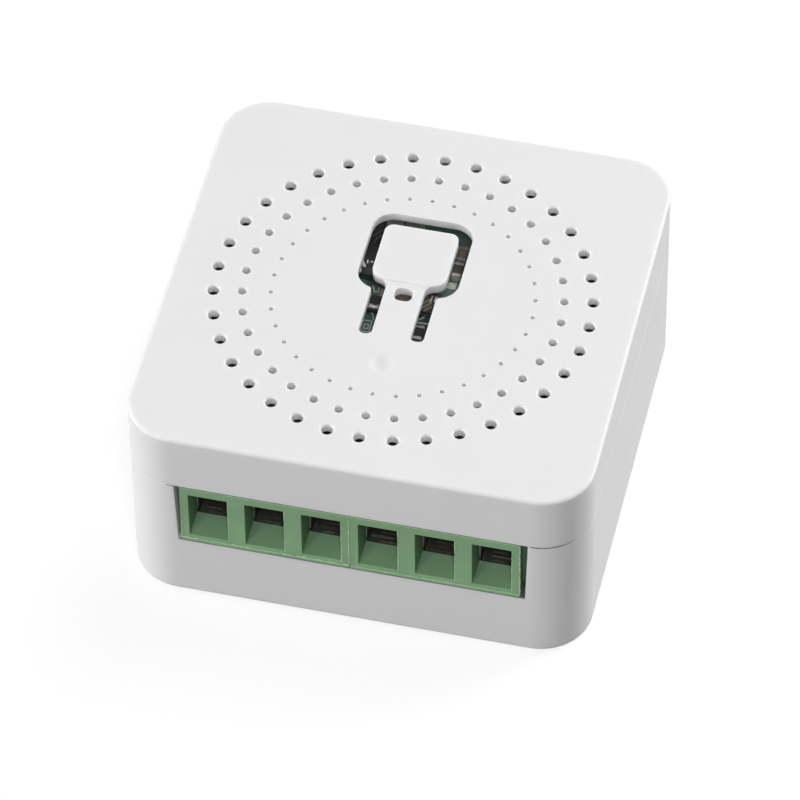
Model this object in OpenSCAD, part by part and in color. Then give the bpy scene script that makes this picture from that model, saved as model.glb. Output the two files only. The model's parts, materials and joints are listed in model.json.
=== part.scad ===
// Mini smart relay module: a small white case with a six-way screw terminal,
// a sprung button in its vented top and a relay board inside.
// Millimetres. X runs along the terminal front, Y to the back, Z up from the bottom centre.

/* [Case] */
// Case width beyond the terminal row, on each side
side_margin = 5.4; // [5.2:0.1:8]
// Depth of the case
case_d = 40.8; // [40:0.1:50]
// Height of the top cover above the parting line
cover_h = 6.05; // [5.8:0.05:8]
// Radius of the upright corners
corner_r = 4.6; // [3.6:0.1:5]
// Thickness of the side walls
wall = 1.3; // [1:0.1:1.5]
// Thickness of the top plate
top_t = 0.85; // [0.8:0.05:1.1]
// Thickness of the floor
floor_t = 1.3; // [1:0.1:2]
// Round on the top edge
top_round = 0.35; // [0.2:0.05:0.6]
// Round on the bottom edge
bottom_round = 0.4; // [0.2:0.05:0.6]
// Bevel on the base at the parting line
base_bevel = 0.04; // [0.03:0.01:0.1]
// Bevel on the cover at the parting line
cover_bevel = 0.12; // [0.05:0.01:0.25]
// Height of the locating lip above the parting line
lip_h = 1.2; // [1:0.1:1.4]
// Thickness of the locating lip
lip_t = 0.7; // [0.5:0.1:0.8]
// Clearance between the locating lip and the cover
lip_gap = 0.1; // [0.08:0.01:0.15]
// Depth of the thick band that carries the lip
lip_root = 1.5; // [1:0.1:2]
// Length of a snap rib
snap_w = 6; // [4:0.5:9]
// Height of a snap rib
snap_h = 0.4; // [0.3:0.05:0.5]
// How far a snap rib stands out from the lip
snap_out = 0.25; // [0.2:0.05:0.3]
// Radius of the posts that carry and hold the board
post_r = 1.2; // [0.8:0.1:1.4]
// Depth of the round dimple in the top
dimple_depth = 0.22; // [0.1:0.02:0.3]
// Diameter of the round dimple in the top
dimple_d = 2.1; // [1.5:0.1:3]
// Distance of the dimple in front of the centre
dimple_reach = 8.05; // [7.6:0.05:9]

/* [Vents] */
// Holes in each ring
vent_count = 36; // [12:4:36]
// Radius of the outer ring
vent_ring_r = 16.5; // [16:0.1:17]
// Distance between rings
vent_ring_step = 2.5; // [2:0.1:2.6]
// Hole diameter in the outer ring
vent_outer_d = 1.08; // [0.8:0.02:1.3]
// Hole diameter in the middle ring
vent_middle_d = 0.8; // [0.6:0.02:1]
// Hole diameter in the inner ring
vent_inner_d = 0.4; // [0.3:0.02:0.6]
// Bevel on the outer rim of each hole, as a share of its diameter
vent_bevel = 0.09; // [0.04:0.01:0.12]
// Diameter of each hole at its inner end, as a share of that at its outer end
vent_taper = 0.84; // [0.8:0.01:0.98]

/* [Button] */
// Distance of the button centre behind the centre of the top
button_y = 4.75; // [4.4:0.05:5.2]
// Width of the button head
head_w = 6.6; // [6:0.1:7]
// Depth of the button head
head_d = 6.4; // [6:0.1:6.6]
// Corner radius of the button head
head_r = 0.8; // [0.6:0.05:1]
// How far the head stands above the top
head_rise = 0.1; // [0.05:0.05:0.3]
// Width of the neck
neck_w = 3.4; // [3:0.1:3.6]
// Distance from the button centre to the end of the slot
neck_reach = 9.68; // [9.2:0.02:10.2]
// Width of the slot at the sides of the tongue
slot_w = 1.2; // [1:0.05:1.3]
// Width of the slot behind the head
slot_back_w = 1.4; // [1:0.05:1.6]
// Corner radius of the slot round the head
slot_r = 1.9; // [1.6:0.05:2.2]
// Corner radius at the ends of the slot
slot_end_r = 0.5; // [0.4:0.05:0.59]
// Round on the cover corner between head and neck
slot_corner_r = 0.3; // [0.2:0.05:0.6]
// Running clearance round the root of the tongue
hinge_gap = 0.05; // [0.03:0.01:0.08]
// Width of the light window
window_w = 1.6; // [1.2:0.05:2]
// Length of the light window
window_l = 1.5; // [1.2:0.05:1.7]
// Corner radius of the light window
window_r = 0.55; // [0.3:0.05:0.6]
// Distance from the button centre to the light window
window_reach = 4.6; // [4.3:0.05:4.9]
// Diameter of the presser under the head
presser_d = 2.2; // [1.8:0.1:2.6]
// Gap between presser and switch plunger
presser_gap = 0.1; // [0.08:0.01:0.2]

/* [Terminals] */
// Distance from one wire to the next
pitch = 5; // [4.8:0.1:6]
// Sideways place of the terminal row in its opening
row_shift = -0.1; // [-0.15:0.05:0.15]
// Width of a wire mouth at the front
mouth_w = 3.46; // [3.2:0.02:3.8]
// Width of a wire mouth at its inner end
throat_w = 2.9; // [2.6:0.05:3.1]
// Depth of the tapered wire mouth
mouth_depth = 1.6; // [1.4:0.05:2]
// Height of the housing above a wire mouth
mouth_roof = 0.9; // [0.7:0.05:1.1]
// Height of the lip below a wire mouth
mouth_lip = 0.45; // [0.3:0.05:0.7]
// How far the floor of a wire mouth climbs
ramp_rise = 1.4; // [1:0.05:1.6]
// Height of the open wire space in a cage
wire_h = 3.6; // [3.2:0.1:4]
// Width of the open wire space in a cage
wire_w = 2.8; // [2.6:0.05:3]
// Sheet thickness of a cage
cage_sheet = 0.6; // [0.5:0.05:0.7]
// Length of a cage along the wire
cage_l = 4; // [3.8:0.1:4.6]
// Thickness of the threaded end of a cage
nut_t = 1.2; // [1:0.1:1.6]
// Travel of a cage from open to tight
cage_travel = 2.5; // [2:0.1:3]
// Thread diameter of a clamp screw
thread_d = 2.5; // [2.2:0.1:2.6]
// Head diameter of a clamp screw
screw_head_d = 3.6; // [3.4:0.1:3.8]
// Head height of a clamp screw
screw_head_h = 1.4; // [1.2:0.1:1.8]
// Width of the screwdriver slot
screw_slot_w = 0.6; // [0.4:0.05:0.8]
// Depth of the screwdriver slot
screw_slot_depth = 0.7; // [0.5:0.05:0.9]
// Thickness of a contact bar
bar_t = 0.8; // [0.6:0.05:1]
// Width of a contact bar
bar_w = 2.5; // [2.2:0.05:2.55]
// Width of the solder tail of a contact bar
tail_w = 1; // [0.8:0.05:1.2]
// Thickness of the housing over the cages
block_roof = 0.5; // [0.4:0.05:0.7]
// Thickness of the housing behind the contact bars
block_back = 0.6; // [0.5:0.05:1]
// Thickness of the web between cage and solder tail
block_web = 0.3; // [0.25:0.05:0.6]
// Thickness of the ledge that keeps a screw in
block_ledge = 0.5; // [0.4:0.05:0.8]
// Diameter of the screwdriver holes
driver_hole_d = 3.2; // [3:0.1:3.3]
// How far the terminal front lies behind the case front
front_recess = 0.1; // [0.05:0.05:0.4]
// Gap between terminal and case at each side of the opening
opening_gap = 0.35; // [0.2:0.05:0.6]
// How much wider the opening is at its top, on each side
opening_taper = 0.2; // [0.1:0.05:0.3]
// Gap between terminal and case below the terminal front
opening_drop = 0.25; // [0.15:0.05:0.4]
// Sliding clearance of the cages and screws
run_gap = 0.1; // [0.08:0.01:0.12]
// Clearance in the cage thread and under the bars
thread_gap = 0.05; // [0.03:0.01:0.08]

/* [Board] */
// Thickness of the main board
board_t = 1.6; // [1.2:0.1:1.8]
// Gap between board and lip
board_gap = 0.2; // [0.1:0.05:0.4]
// Gap between the parting line and the board
rim_gap = 0.1; // [0.08:0.02:0.3]
// Space between terminals and floor
under_gap = 1; // [0.6:0.1:2]
// How far solder tails stand out of the board
tail_out = 0.9; // [0.6:0.1:1.2]
// Clearance round leads in the board
lead_gap = 0.15; // [0.1:0.05:0.25]
// Gap between hold-down posts and board
hold_gap = 0.05; // [0.03:0.01:0.1]
// Distance of the tactile switch behind the button centre
switch_back = 1.25; // [0.5:0.05:1.5]
// Length of the tactile switch along X
switch_w = 4; // [3.6:0.1:4.4]
// Depth of the tactile switch
switch_d = 3; // [2.8:0.1:3.4]
// Height of the tactile switch body
switch_h = 1.6; // [1.4:0.05:1.8]
// Diameter of the switch plunger
plunger_d = 1.6; // [1.4:0.05:1.8]
// How far the plunger stands out
plunger_out = 0.5; // [0.4:0.05:0.6]
// Depth of the plunger inside the switch
plunger_depth = 0.8; // [0.6:0.05:0.9]
// Space for the plunger to travel down
plunger_room = 0.4; // [0.35:0.05:0.5]
// Width of the radio board
radio_w = 12; // [10:0.5:13]
// Depth of the radio board
radio_d = 12; // [10:0.5:13]
// Thickness of the radio board
radio_t = 0.8; // [0.6:0.1:1]
// Gap between radio board and switch
radio_gap = 0.6; // [0.4:0.1:1]
// Distance of the radio board from the back edge of the main board
radio_inset = 1; // [0.4:0.1:1.4]
// Width of the radio shield
shield_w = 7; // [6:0.5:8]
// Depth of the radio shield
shield_d = 8; // [7:0.5:9]
// Height of the radio shield
shield_h = 1.5; // [1.2:0.1:1.8]
// Sheet thickness of the radio shield
shield_t = 0.2; // [0.15:0.05:0.3]
// Distance of the shield from the left edge of the radio board
shield_inset = 1; // [0.6:0.1:1.5]
// Side of the radio chip
radio_chip_w = 4; // [3:0.5:5]
// Height of the radio chip
radio_chip_h = 0.8; // [0.6:0.1:0.9]
// Length of the status light
led_l = 1.6; // [1.4:0.1:2]
// Width of the status light
led_w = 0.8; // [0.6:0.1:1.2]
// Height of the status light
led_h = 0.6; // [0.4:0.1:0.8]
// Length of a chip part
chip_l = 1.6; // [1.4:0.1:2]
// Width of a chip part
chip_w = 0.8; // [0.6:0.1:1]
// Height of a chip resistor
chip_h = 0.45; // [0.35:0.05:0.6]
// Height of a chip capacitor
chip_cap_h = 0.8; // [0.6:0.05:0.9]
// Length of the metal end of a chip part
chip_end = 0.3; // [0.2:0.05:0.4]

/* [Relay] */
// Length of the relay along X
relay_w = 18; // [17:0.5:19.5]
// Depth of the relay
relay_d = 14; // [13:0.5:15]
// Height of the relay
relay_h = 10.4; // [10:0.1:11.2]
// Wall of the relay cover
relay_wall = 0.7; // [0.5:0.05:0.8]
// Thickness of the relay base
relay_base_t = 1; // [0.8:0.1:1.2]
// Gap between relay and board
relay_stand = 0.2; // [0.1:0.05:0.5]
// Fit of the base in the relay cover
relay_fit = 0.05; // [0.03:0.01:0.1]
// Side of the bobbin flanges
flange_w = 6.6; // [6:0.1:6.8]
// Thickness of the bobbin flanges
flange_t = 0.6; // [0.5:0.05:0.8]
// Length of the winding
winding_l = 8.6; // [8:0.1:9.2]
// Diameter of the winding
winding_d = 6.2; // [5.6:0.1:6.4]
// Diameter of the bobbin barrel
barrel_d = 4; // [3.8:0.1:4.4]
// Diameter of the iron core
core_d = 2.8; // [2.4:0.1:3]
// How far the core stands out of the bobbin
core_out = 0.4; // [0.3:0.05:0.5]
// Thickness of the yoke
yoke_t = 0.9; // [0.8:0.05:1]
// Width of the yoke and armature
yoke_w = 6; // [5:0.1:6.4]
// Thickness of the armature
armature_t = 0.8; // [0.7:0.05:0.9]
// Air gap between armature and core
air_gap = 0.45; // [0.42:0.01:0.6]
// Clearance between coil, yoke and cover
coil_gap = 0.2; // [0.1:0.05:0.25]
// Thickness of the contact blades
blade_t = 0.3; // [0.25:0.05:0.4]
// Width of the contact blades
blade_w = 2; // [1.6:0.1:2.2]
// Diameter of the contact rivets
rivet_d = 1.6; // [1.2:0.1:1.8]
// Height of the contact rivets
rivet_h = 0.4; // [0.3:0.05:0.5]
// Gap between the open contacts
contact_gap = 0.5; // [0.45:0.05:0.7]
// Diameter of the relay pins
pin_d = 0.8; // [0.6:0.05:1]
// Distance of the relay pins from the relay sides
pin_inset = 1.9; // [1.6:0.1:2.2]

/* [Supply] */
// Gap between neighbouring supply parts
part_gap = 1; // [0.6:0.1:1.5]
// Distance of parts from the posts and board edge
edge_gap = 0.6; // [0.4:0.1:1]
// Diameter of a capacitor
cap_d = 5; // [4:0.1:5.4]
// Length of a capacitor
cap_l = 9; // [7:0.5:10]
// Distance between the leads of a capacitor
cap_spread = 2.5; // [1.6:0.1:3]
// Diameter of the inductor
inductor_d = 4.6; // [4:0.1:5]
// Length of the inductor
inductor_l = 6; // [5:0.5:8]
// Thickness of the end discs of the inductor
inductor_rim = 1; // [0.6:0.1:1.4]
// How far the end discs stand out from the wound waist
inductor_lip = 0.5; // [0.3:0.1:0.8]
// Distance between the leads of the inductor
inductor_spread = 2.3; // [1.6:0.1:2.6]
// Diameter of the varistor
varistor_d = 7; // [6:0.5:8]
// Thickness of the varistor
varistor_t = 3.4; // [3:0.1:4]
// Distance between the leads of the varistor
varistor_spread = 3.5; // [2.5:0.1:5]
// Length of the fuse resistor
fuse_l = 8; // [7:0.5:9]
// Diameter of the fuse resistor
fuse_d = 3; // [2.4:0.1:3.4]
// How far the leads of the fuse resistor run out before they bend
fuse_lead_out = 1; // [0.8:0.1:1.4]
// Distance of the hanging parts from the board
hang_gap = 0.6; // [0.3:0.1:1]
// Diameter of the leads
lead_d = 0.6; // [0.5:0.05:0.7]
// Length of the bridge rectifier
bridge_w = 4.7; // [4:0.1:5]
// Depth of the bridge rectifier
bridge_d = 3.9; // [3.5:0.1:4.4]
// Height of the bridge rectifier
bridge_h = 2.4; // [2:0.1:2.6]
// Length of the converter chip
converter_w = 4.9; // [4:0.1:5.4]
// Depth of the converter chip
converter_d = 3.9; // [3.5:0.1:4.4]
// Height of the converter chip
converter_h = 1.5; // [1.2:0.1:1.7]
// Length of the driver transistor
driver_w = 2.9; // [2.5:0.1:3.2]
// Depth of the driver transistor
driver_d = 1.3; // [1.1:0.1:1.6]
// Height of the driver transistor
driver_h = 1; // [0.8:0.1:1.2]

/* [Hidden] */
$fn = 48;
poles = 6;
block_poles = poles / 2;
// How far a cutting shape runs past the face that it cuts
past = 1;
// Steps in the small rounds of the case edges
round_steps = 5;

// Height of the terminal parts, from the floor up
cage_w = wire_w + 2 * cage_sheet;
cage_h = cage_sheet + wire_h + bar_t + thread_gap + nut_t;
block_h = block_ledge + run_gap + screw_head_h + run_gap + cage_travel + cage_h + run_gap + block_roof;
block_z = floor_t + under_gap;
screw_z = block_z + block_ledge + run_gap;
cage_low_z = screw_z + screw_head_h + run_gap;
cage_z = cage_low_z + cage_travel;
bar_z = cage_z + nut_t + thread_gap;
wire_z = bar_z + bar_t;
mouth_z = wire_z - ramp_rise;
nose_z = mouth_z - mouth_lip;
board_z = block_z + block_h;
board_top = board_z + board_t;
parting_z = board_z + rim_gap;
case_h = parting_z + cover_h;
mouth_top_z = board_z - mouth_roof;
plate_z = case_h - top_t;

// Case width, and the terminal parts from the front to the back
case_w = poles * pitch + 2 * side_margin;
front_y = -case_d / 2;
nose_y = front_y + front_recess;
throat_y = nose_y + mouth_depth;
cage_y = front_y + wall + run_gap + block_roof;
screw_y = cage_y + cage_l / 2;
cage_end_y = cage_y + cage_l + run_gap;
tail_y = cage_end_y + block_web;
block_end_y = tail_y + bar_t + block_back;
block_w = block_poles * pitch;
opening_half = poles * pitch / 2 + opening_gap;
opening_z = nose_z - opening_drop;

// Board and the posts that hold it
board_w = case_w - 2 * (wall + lip_gap + lip_t + board_gap);
board_d = case_d - 2 * (wall + lip_gap + lip_t + board_gap);
board_r = corner_r - wall - lip_t;
post_x = board_w / 2 - post_r - edge_gap;
post_y = board_d / 2 - post_r - edge_gap;
tail_hole_d = sqrt(pow(tail_w, 2) + pow(bar_t, 2)) + 2 * lead_gap;

// Button, its slot and the hinge line at the root of its tongue
slot_head_w = head_w + 2 * slot_w;
slot_head_d = slot_w + head_d + slot_back_w;
slot_head_y = button_y + (slot_back_w - slot_w) / 2;
slot_end_y = button_y - neck_reach;
hinge_y = slot_end_y + slot_end_r;
hinge_z = plate_z + top_t / 2;
leg_x = neck_w / 2 + slot_w;
window_y = button_y - window_reach;
switch_y = button_y + switch_back;
switch_top = board_top + switch_h;
plunger_top = switch_top + plunger_out;

// Radio board, placed by the switch and the back edge
radio_x1 = -switch_w / 2 - radio_gap;
radio_x0 = radio_x1 - radio_w;
radio_y1 = board_d / 2 - radio_inset;
radio_y0 = radio_y1 - radio_d;
shield_x = radio_x0 + shield_inset + shield_w / 2;
shield_y = (radio_y0 + radio_y1) / 2;
radio_top = board_top + radio_t;

// Relay, hanging under the back right of the board
relay_x1 = post_x - post_r - edge_gap;
relay_x0 = relay_x1 - relay_w;
relay_y1 = board_d / 2 - edge_gap;
relay_y0 = relay_y1 - relay_d;
relay_top = board_z - relay_stand;
relay_z = relay_top - relay_h;
relay_in_z = relay_z + relay_wall;
relay_base_z = relay_top - relay_base_t;
coil_x = relay_x0 + relay_wall + coil_gap + yoke_t;
coil_y = relay_y0 + relay_wall + coil_gap + flange_w / 2;
yoke_z = relay_base_z - yoke_t;
coil_z = yoke_z - coil_gap - flange_w / 2;
bobbin_l = winding_l + 2 * flange_t;
core_face_x = coil_x + bobbin_l + core_out;
armature_x = core_face_x + air_gap;
pivot_z = yoke_z + yoke_t / 2;
pivot_x = armature_x + armature_t / 2;
pivot_r = armature_t / 2;
blade_y = coil_y + flange_w / 2 + coil_gap + blade_w / 2;
contact_z = coil_z - core_d / 2;
fixed_blade_x = armature_x - rivet_h - contact_gap - rivet_h - blade_t;

// Supply parts under the board
row_y = block_end_y + part_gap;
row_end_y = row_y + max(varistor_t, fuse_d);
caps_x = -board_w / 2 + edge_gap + cap_d / 2;
cap_y1 = row_end_y + part_gap + cap_d / 2;
cap_y2 = cap_y1 + cap_d + part_gap;
inductor_x = caps_x + cap_d / 2 + part_gap + inductor_d / 2;
inductor_y = cap_y2;
varistor_x = post_x - edge_gap - varistor_d / 2;
varistor_y = row_y + varistor_t / 2;
fuse_x = -fuse_l / 2 - part_gap;
fuse_y = row_y + fuse_d / 2;
hang_z = board_z - hang_gap;
fuse_reach = fuse_l / 2 + fuse_lead_out;

// Centres of the chip parts on the board, and whether each lies along Y
resistor_places = [
    [1.4, -0.25, true],
    [-4.05, 1.9, false],
    [-2.1, 2.1, false],
    [-6.5, 0, true],
    [8, -3, false],
    [8, -5, false],
    [-8, -4, true]
];
capacitor_places = [
    [3.2, 9.3, true],
    [3.2, 7.4, true],
    [6.5, -1, false],
    [-6, -4, true]
];
bridge_xy = [12, -5];
converter_xy = [12, 1];
driver_xy = [9, 4];

// X of a pole, counted from the left
function pole_x(i) = (i - (poles + 1) / 2) * pitch + row_shift;
// Points along an arc
function arc(cx, cy, r, a0, a1, n) =
    [for (i = [0:n]) [cx + r * cos(a0 + (a1 - a0) * i / n), cy + r * sin(a0 + (a1 - a0) * i / n)]];

// A box given by its two opposite corners
module block(a, b) {
    translate(a) cube(b - a);
}

// A rectangle with round corners, centred
module rounded_rect(w, d, r) {
    square([w - 2 * r, d], center = true);
    square([w, d - 2 * r], center = true);
    for (sx = [-1, 1], sy = [-1, 1])
        translate([sx * (w / 2 - r), sy * (d / 2 - r)]) circle(r);
}

// Side profile of a case shell: out to reach, with its lower and upper outer edges broken
module edge_profile(reach, h, low, low_steps, high, high_steps) {
    polygon(concat(
        [[0, 0]],
        arc(reach - low, low, low, -90, 0, low_steps),
        arc(reach - high, h - high, high, 0, 90, high_steps),
        [[0, h]]
    ));
}

// A box with round upright corners and broken lower and upper edges
module case_solid(w, d, h, r, low, low_steps, high, high_steps) {
    translate([-w / 2 + r, -d / 2 + r, 0]) cube([w - 2 * r, d - 2 * r, h]);
    for (k = [0:3]) {
        half_x = (k % 2 == 0 ? w : d) / 2 - r;
        half_y = (k % 2 == 0 ? d : w) / 2 - r;
        rotate(90 * k) {
            translate([half_x, half_y, 0]) rotate([90, 0, 0]) linear_extrude(2 * half_y)
                edge_profile(r, h, low, low_steps, high, high_steps);
            translate([half_x, half_y, 0]) rotate_extrude(angle = 90)
                edge_profile(r, h, low, low_steps, high, high_steps);
        }
    }
}

// A prism with the case's plan, drawn in by a distance
module plan_prism(inset, z0, z1) {
    translate([0, 0, z0]) linear_extrude(z1 - z0)
        rounded_rect(case_w - 2 * inset, case_d - 2 * inset, corner_r - inset);
}

// Snap ribs on the two sides and the back, grown by a clearance
module snaps(grow) {
    snap_z = parting_z + lip_h / 2;
    for (k = [0:2]) {
        face = (k % 2 == 0 ? case_w : case_d) / 2 - wall - lip_gap;
        rotate(90 * k) translate([face - lip_t / 2, -snap_w / 2 - grow, snap_z - snap_h / 2 - grow])
            cube([lip_t / 2 + snap_out + grow, snap_w + 2 * grow, snap_h + 2 * grow]);
    }
}

// Terminal opening: wider at the top, and clear through the lip
module terminal_opening() {
    depth = wall + lip_gap + lip_t + board_gap;
    top = parting_z + lip_h + past;
    translate([0, front_y + depth, 0]) rotate([90, 0, 0]) linear_extrude(depth + past)
        polygon([
            [-opening_half, opening_z],
            [opening_half, opening_z],
            [opening_half + opening_taper, parting_z],
            [opening_half + opening_taper, top],
            [-opening_half - opening_taper, top],
            [-opening_half - opening_taper, parting_z]
        ]);
}

module base_shell() {
    lip_out = wall + lip_gap;
    color("white") difference() {
        union() {
            difference() {
                case_solid(
                    case_w, case_d, parting_z, corner_r,
                    bottom_round, round_steps, base_bevel, 1
                );
                plan_prism(wall, floor_t, parting_z + past);
            }
            difference() {
                plan_prism(lip_out - 2 * lip_gap, parting_z - lip_root, parting_z);
                plan_prism(lip_out + lip_t, parting_z - lip_root - past, parting_z + past);
            }
            difference() {
                plan_prism(lip_out, parting_z - lip_root, parting_z + lip_h);
                plan_prism(lip_out + lip_t, parting_z - lip_root - past, parting_z + lip_h + past);
            }
            snaps(0);
            for (sx = [-1, 1])
                translate([sx * post_x, post_y, floor_t / 2])
                    cylinder(r = post_r, h = board_z - floor_t / 2);
        }
        terminal_opening();
        for (i = [1:poles])
            translate([pole_x(i), screw_y, -past]) cylinder(d = driver_hole_d, h = floor_t + 2 * past);
    }
}

// Outline of the whole cut in the cover round the tongue
module slot_outline() {
    leg_l = button_y - slot_end_y;
    arc_x = slot_head_w / 2 - slot_r;
    arc_y = slot_head_y - slot_head_d / 2 + slot_r;
    corner_x = leg_x + slot_corner_r;
    corner_y = arc_y - sqrt(pow(slot_r + slot_corner_r, 2) - pow(corner_x - arc_x, 2));
    touch = slot_r / (slot_r + slot_corner_r);
    translate([0, slot_head_y]) rounded_rect(slot_head_w, slot_head_d, slot_r);
    translate([-leg_x, hinge_y]) square([2 * leg_x, button_y - hinge_y]);
    for (sx = [-1, 1])
        translate([sx * (neck_w + slot_w) / 2, slot_end_y + leg_l / 2])
            rounded_rect(slot_w, leg_l, slot_end_r);
    for (k = [0, 1]) mirror([k, 0]) difference() {
        polygon([
            [leg_x - slot_w / 2, corner_y],
            [corner_x, corner_y],
            [arc_x + (corner_x - arc_x) * touch, arc_y + (corner_y - arc_y) * touch],
            [leg_x - slot_w / 2, arc_y]
        ]);
        translate([corner_x, corner_y]) circle(slot_corner_r);
    }
}

// Ring of vent holes, each narrowing inwards and with a bevelled outer rim
module vent_ring(radius, d) {
    rim = vent_bevel * d;
    rim_h = 2 * rim + past;
    rim_d = d - 2 * rim;
    for (i = [0:vent_count - 1]) rotate(360 * i / vent_count) translate([radius, 0, 0]) {
        translate([0, 0, plate_z - past]) cylinder(d1 = vent_taper * d, d2 = d, h = top_t + 2 * past);
        translate([0, 0, case_h - 2 * rim]) cylinder(d1 = rim_d, d2 = rim_d + 2 * rim_h, h = rim_h);
    }
}

module top_cover() {
    dimple_r = (pow(dimple_d / 2, 2) + pow(dimple_depth, 2)) / (2 * dimple_depth);
    hold_z = board_top + hold_gap;
    hold_h = plate_z - hold_z + top_t / 2;
    color("white") difference() {
        union() {
            difference() {
                translate([0, 0, parting_z])
                    case_solid(case_w, case_d, cover_h, corner_r, cover_bevel, 1, top_round, round_steps);
                plan_prism(wall, parting_z - past, plate_z);
            }
            for (p = [[-1, -1], [1, -1], [1, 1]])
                translate([p[0] * post_x, p[1] * post_y, hold_z]) cylinder(r = post_r, h = hold_h);
        }
        translate([0, 0, plate_z - past]) linear_extrude(top_t + 2 * past) slot_outline();
        translate([-neck_w / 2 - hinge_gap, hinge_y, hinge_z]) rotate([0, 90, 0])
            cylinder(r = top_t / 2 + hinge_gap, h = neck_w + 2 * hinge_gap);
        vent_ring(vent_ring_r, vent_outer_d);
        vent_ring(vent_ring_r - vent_ring_step, vent_middle_d);
        vent_ring(vent_ring_r - 2 * vent_ring_step, vent_inner_d);
        translate([0, -dimple_reach, case_h - dimple_depth + dimple_r]) sphere(dimple_r);
        snaps(lip_gap / 2);
    }
}

// Tongue outline below the head: a neck that flares into the head
module neck_outline() {
    flare_y = button_y - head_d / 2;
    translate([-neck_w / 2, hinge_y]) square([neck_w, button_y - hinge_y]);
    for (k = [0, 1]) mirror([k, 0]) difference() {
        translate([neck_w / 4, flare_y - head_r]) square([neck_w / 4 + head_r, 2 * head_r]);
        translate([neck_w / 2 + head_r, flare_y - head_r]) circle(head_r);
    }
}

module button_flap() {
    presser_z = plunger_top + presser_gap;
    color("white") difference() {
        union() {
            translate([0, 0, plate_z]) linear_extrude(top_t) neck_outline();
            translate([0, button_y, plate_z]) linear_extrude(top_t + head_rise)
                rounded_rect(head_w, head_d, head_r);
            translate([-neck_w / 2, hinge_y, hinge_z]) rotate([0, 90, 0])
                cylinder(r = top_t / 2, h = neck_w);
            translate([0, switch_y, presser_z])
                cylinder(d = presser_d, h = plate_z - presser_z + top_t / 2);
        }
        translate([0, window_y, plate_z - past]) linear_extrude(top_t + 2 * past)
            rounded_rect(window_w, window_l, window_r);
    }
}

module main_board() {
    color("darkgreen") translate([0, 0, board_z]) linear_extrude(board_t) difference() {
        rounded_rect(board_w, board_d, board_r);
        for (i = [1:poles]) translate([pole_x(i), tail_y + bar_t / 2]) circle(d = tail_hole_d);
        for (p = lead_places()) translate(p) circle(d = lead_d + 2 * lead_gap);
        for (p = pin_places()) translate(p) circle(d = pin_d + 2 * lead_gap);
    }
}

module switch_body() {
    color("dimgray") difference() {
        translate([-switch_w / 2, switch_y - switch_d / 2, board_top]) cube([switch_w, switch_d, switch_h]);
        translate([0, switch_y, switch_top - plunger_depth - plunger_room])
            cylinder(d = plunger_d + 2 * thread_gap, h = switch_h);
    }
}

module switch_plunger() {
    color("black") translate([0, switch_y, switch_top - plunger_depth])
        cylinder(d = plunger_d, h = plunger_depth + plunger_out);
}

module status_led() {
    color("ivory") translate([-led_l / 2, window_y - led_w / 2, board_top]) cube([led_l, led_w, led_h]);
}

module radio_board() {
    color("black") block([radio_x0, radio_y0, board_top], [radio_x1, radio_y1, radio_top]);
}

module radio_shield() {
    inner_w = shield_w - 2 * shield_t;
    inner_d = shield_d - 2 * shield_t;
    color("silver") translate([shield_x, shield_y, radio_top]) difference() {
        translate([-shield_w / 2, -shield_d / 2, 0]) cube([shield_w, shield_d, shield_h]);
        translate([-inner_w / 2, -inner_d / 2, -past]) cube([inner_w, inner_d, shield_h - shield_t + past]);
    }
}

module radio_chip() {
    color("black") translate([shield_x - radio_chip_w / 2, shield_y - radio_chip_w / 2, radio_top])
        cube([radio_chip_w, radio_chip_w, radio_chip_h]);
}

// Side profile of a terminal housing: a nose at the front, set back behind the case wall below it
module block_profile() {
    back_y = front_y + wall + run_gap;
    polygon([
        [nose_y, nose_z],
        [nose_y, board_z],
        [block_end_y, board_z],
        [block_end_y, block_z],
        [back_y, block_z],
        [back_y, nose_z]
    ]);
}

// Turns a side profile in Y and Z into a prism along X
module side_prism(x0, x1) {
    translate([x0, 0, 0]) rotate([90, 0, 90]) linear_extrude(x1 - x0) children();
}

// Tapered wire mouth: a sloped floor cut by two slanted sides
module wire_mouth(x) {
    slope = (mouth_w - throat_w) / 2 / mouth_depth;
    intersection() {
        side_prism(x - mouth_w, x + mouth_w) polygon([
            [nose_y - past, mouth_z - past * ramp_rise / mouth_depth],
            [throat_y, wire_z],
            [cage_y + run_gap, wire_z],
            [cage_y + run_gap, mouth_top_z],
            [nose_y - past, mouth_top_z]
        ]);
        translate([x, 0, nose_z]) linear_extrude(board_z - nose_z) polygon([
            [-mouth_w / 2 - past * slope, nose_y - past],
            [mouth_w / 2 + past * slope, nose_y - past],
            [throat_w / 2, throat_y],
            [throat_w / 2, cage_y + run_gap],
            [-throat_w / 2, cage_y + run_gap],
            [-throat_w / 2, throat_y]
        ]);
    }
}

// Space for one cage, its screw and its contact bar
module pole_pocket(x) {
    half = cage_w / 2 + run_gap;
    slot = bar_w / 2 + thread_gap;
    block([x - half, cage_y - run_gap, cage_low_z - run_gap], [x + half, cage_end_y, board_z - block_roof]);
    block([x - slot, throat_y, bar_z], [x + slot, cage_y, wire_z]);
    block([x - slot, cage_end_y - run_gap, bar_z], [x + slot, tail_y + bar_t, wire_z]);
    block([x - slot, tail_y - thread_gap, bar_z], [x + slot, tail_y + bar_t, board_z + past]);
    translate([x, screw_y, screw_z - run_gap])
        cylinder(d = screw_head_d + 2 * run_gap, h = screw_head_h + 2 * run_gap);
    translate([x, screw_y, block_z - past]) cylinder(d = driver_hole_d, h = block_ledge + 2 * past);
}

// Housing of three poles, from the given first pole
module terminal_block(first) {
    x0 = pole_x(first) - pitch / 2;
    difference() {
        side_prism(x0, x0 + block_w) block_profile();
        for (i = [first:first + block_poles - 1]) {
            wire_mouth(pole_x(i));
            pole_pocket(pole_x(i));
        }
    }
}

module terminal_block_left() {
    color("seagreen") terminal_block(1);
}

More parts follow.
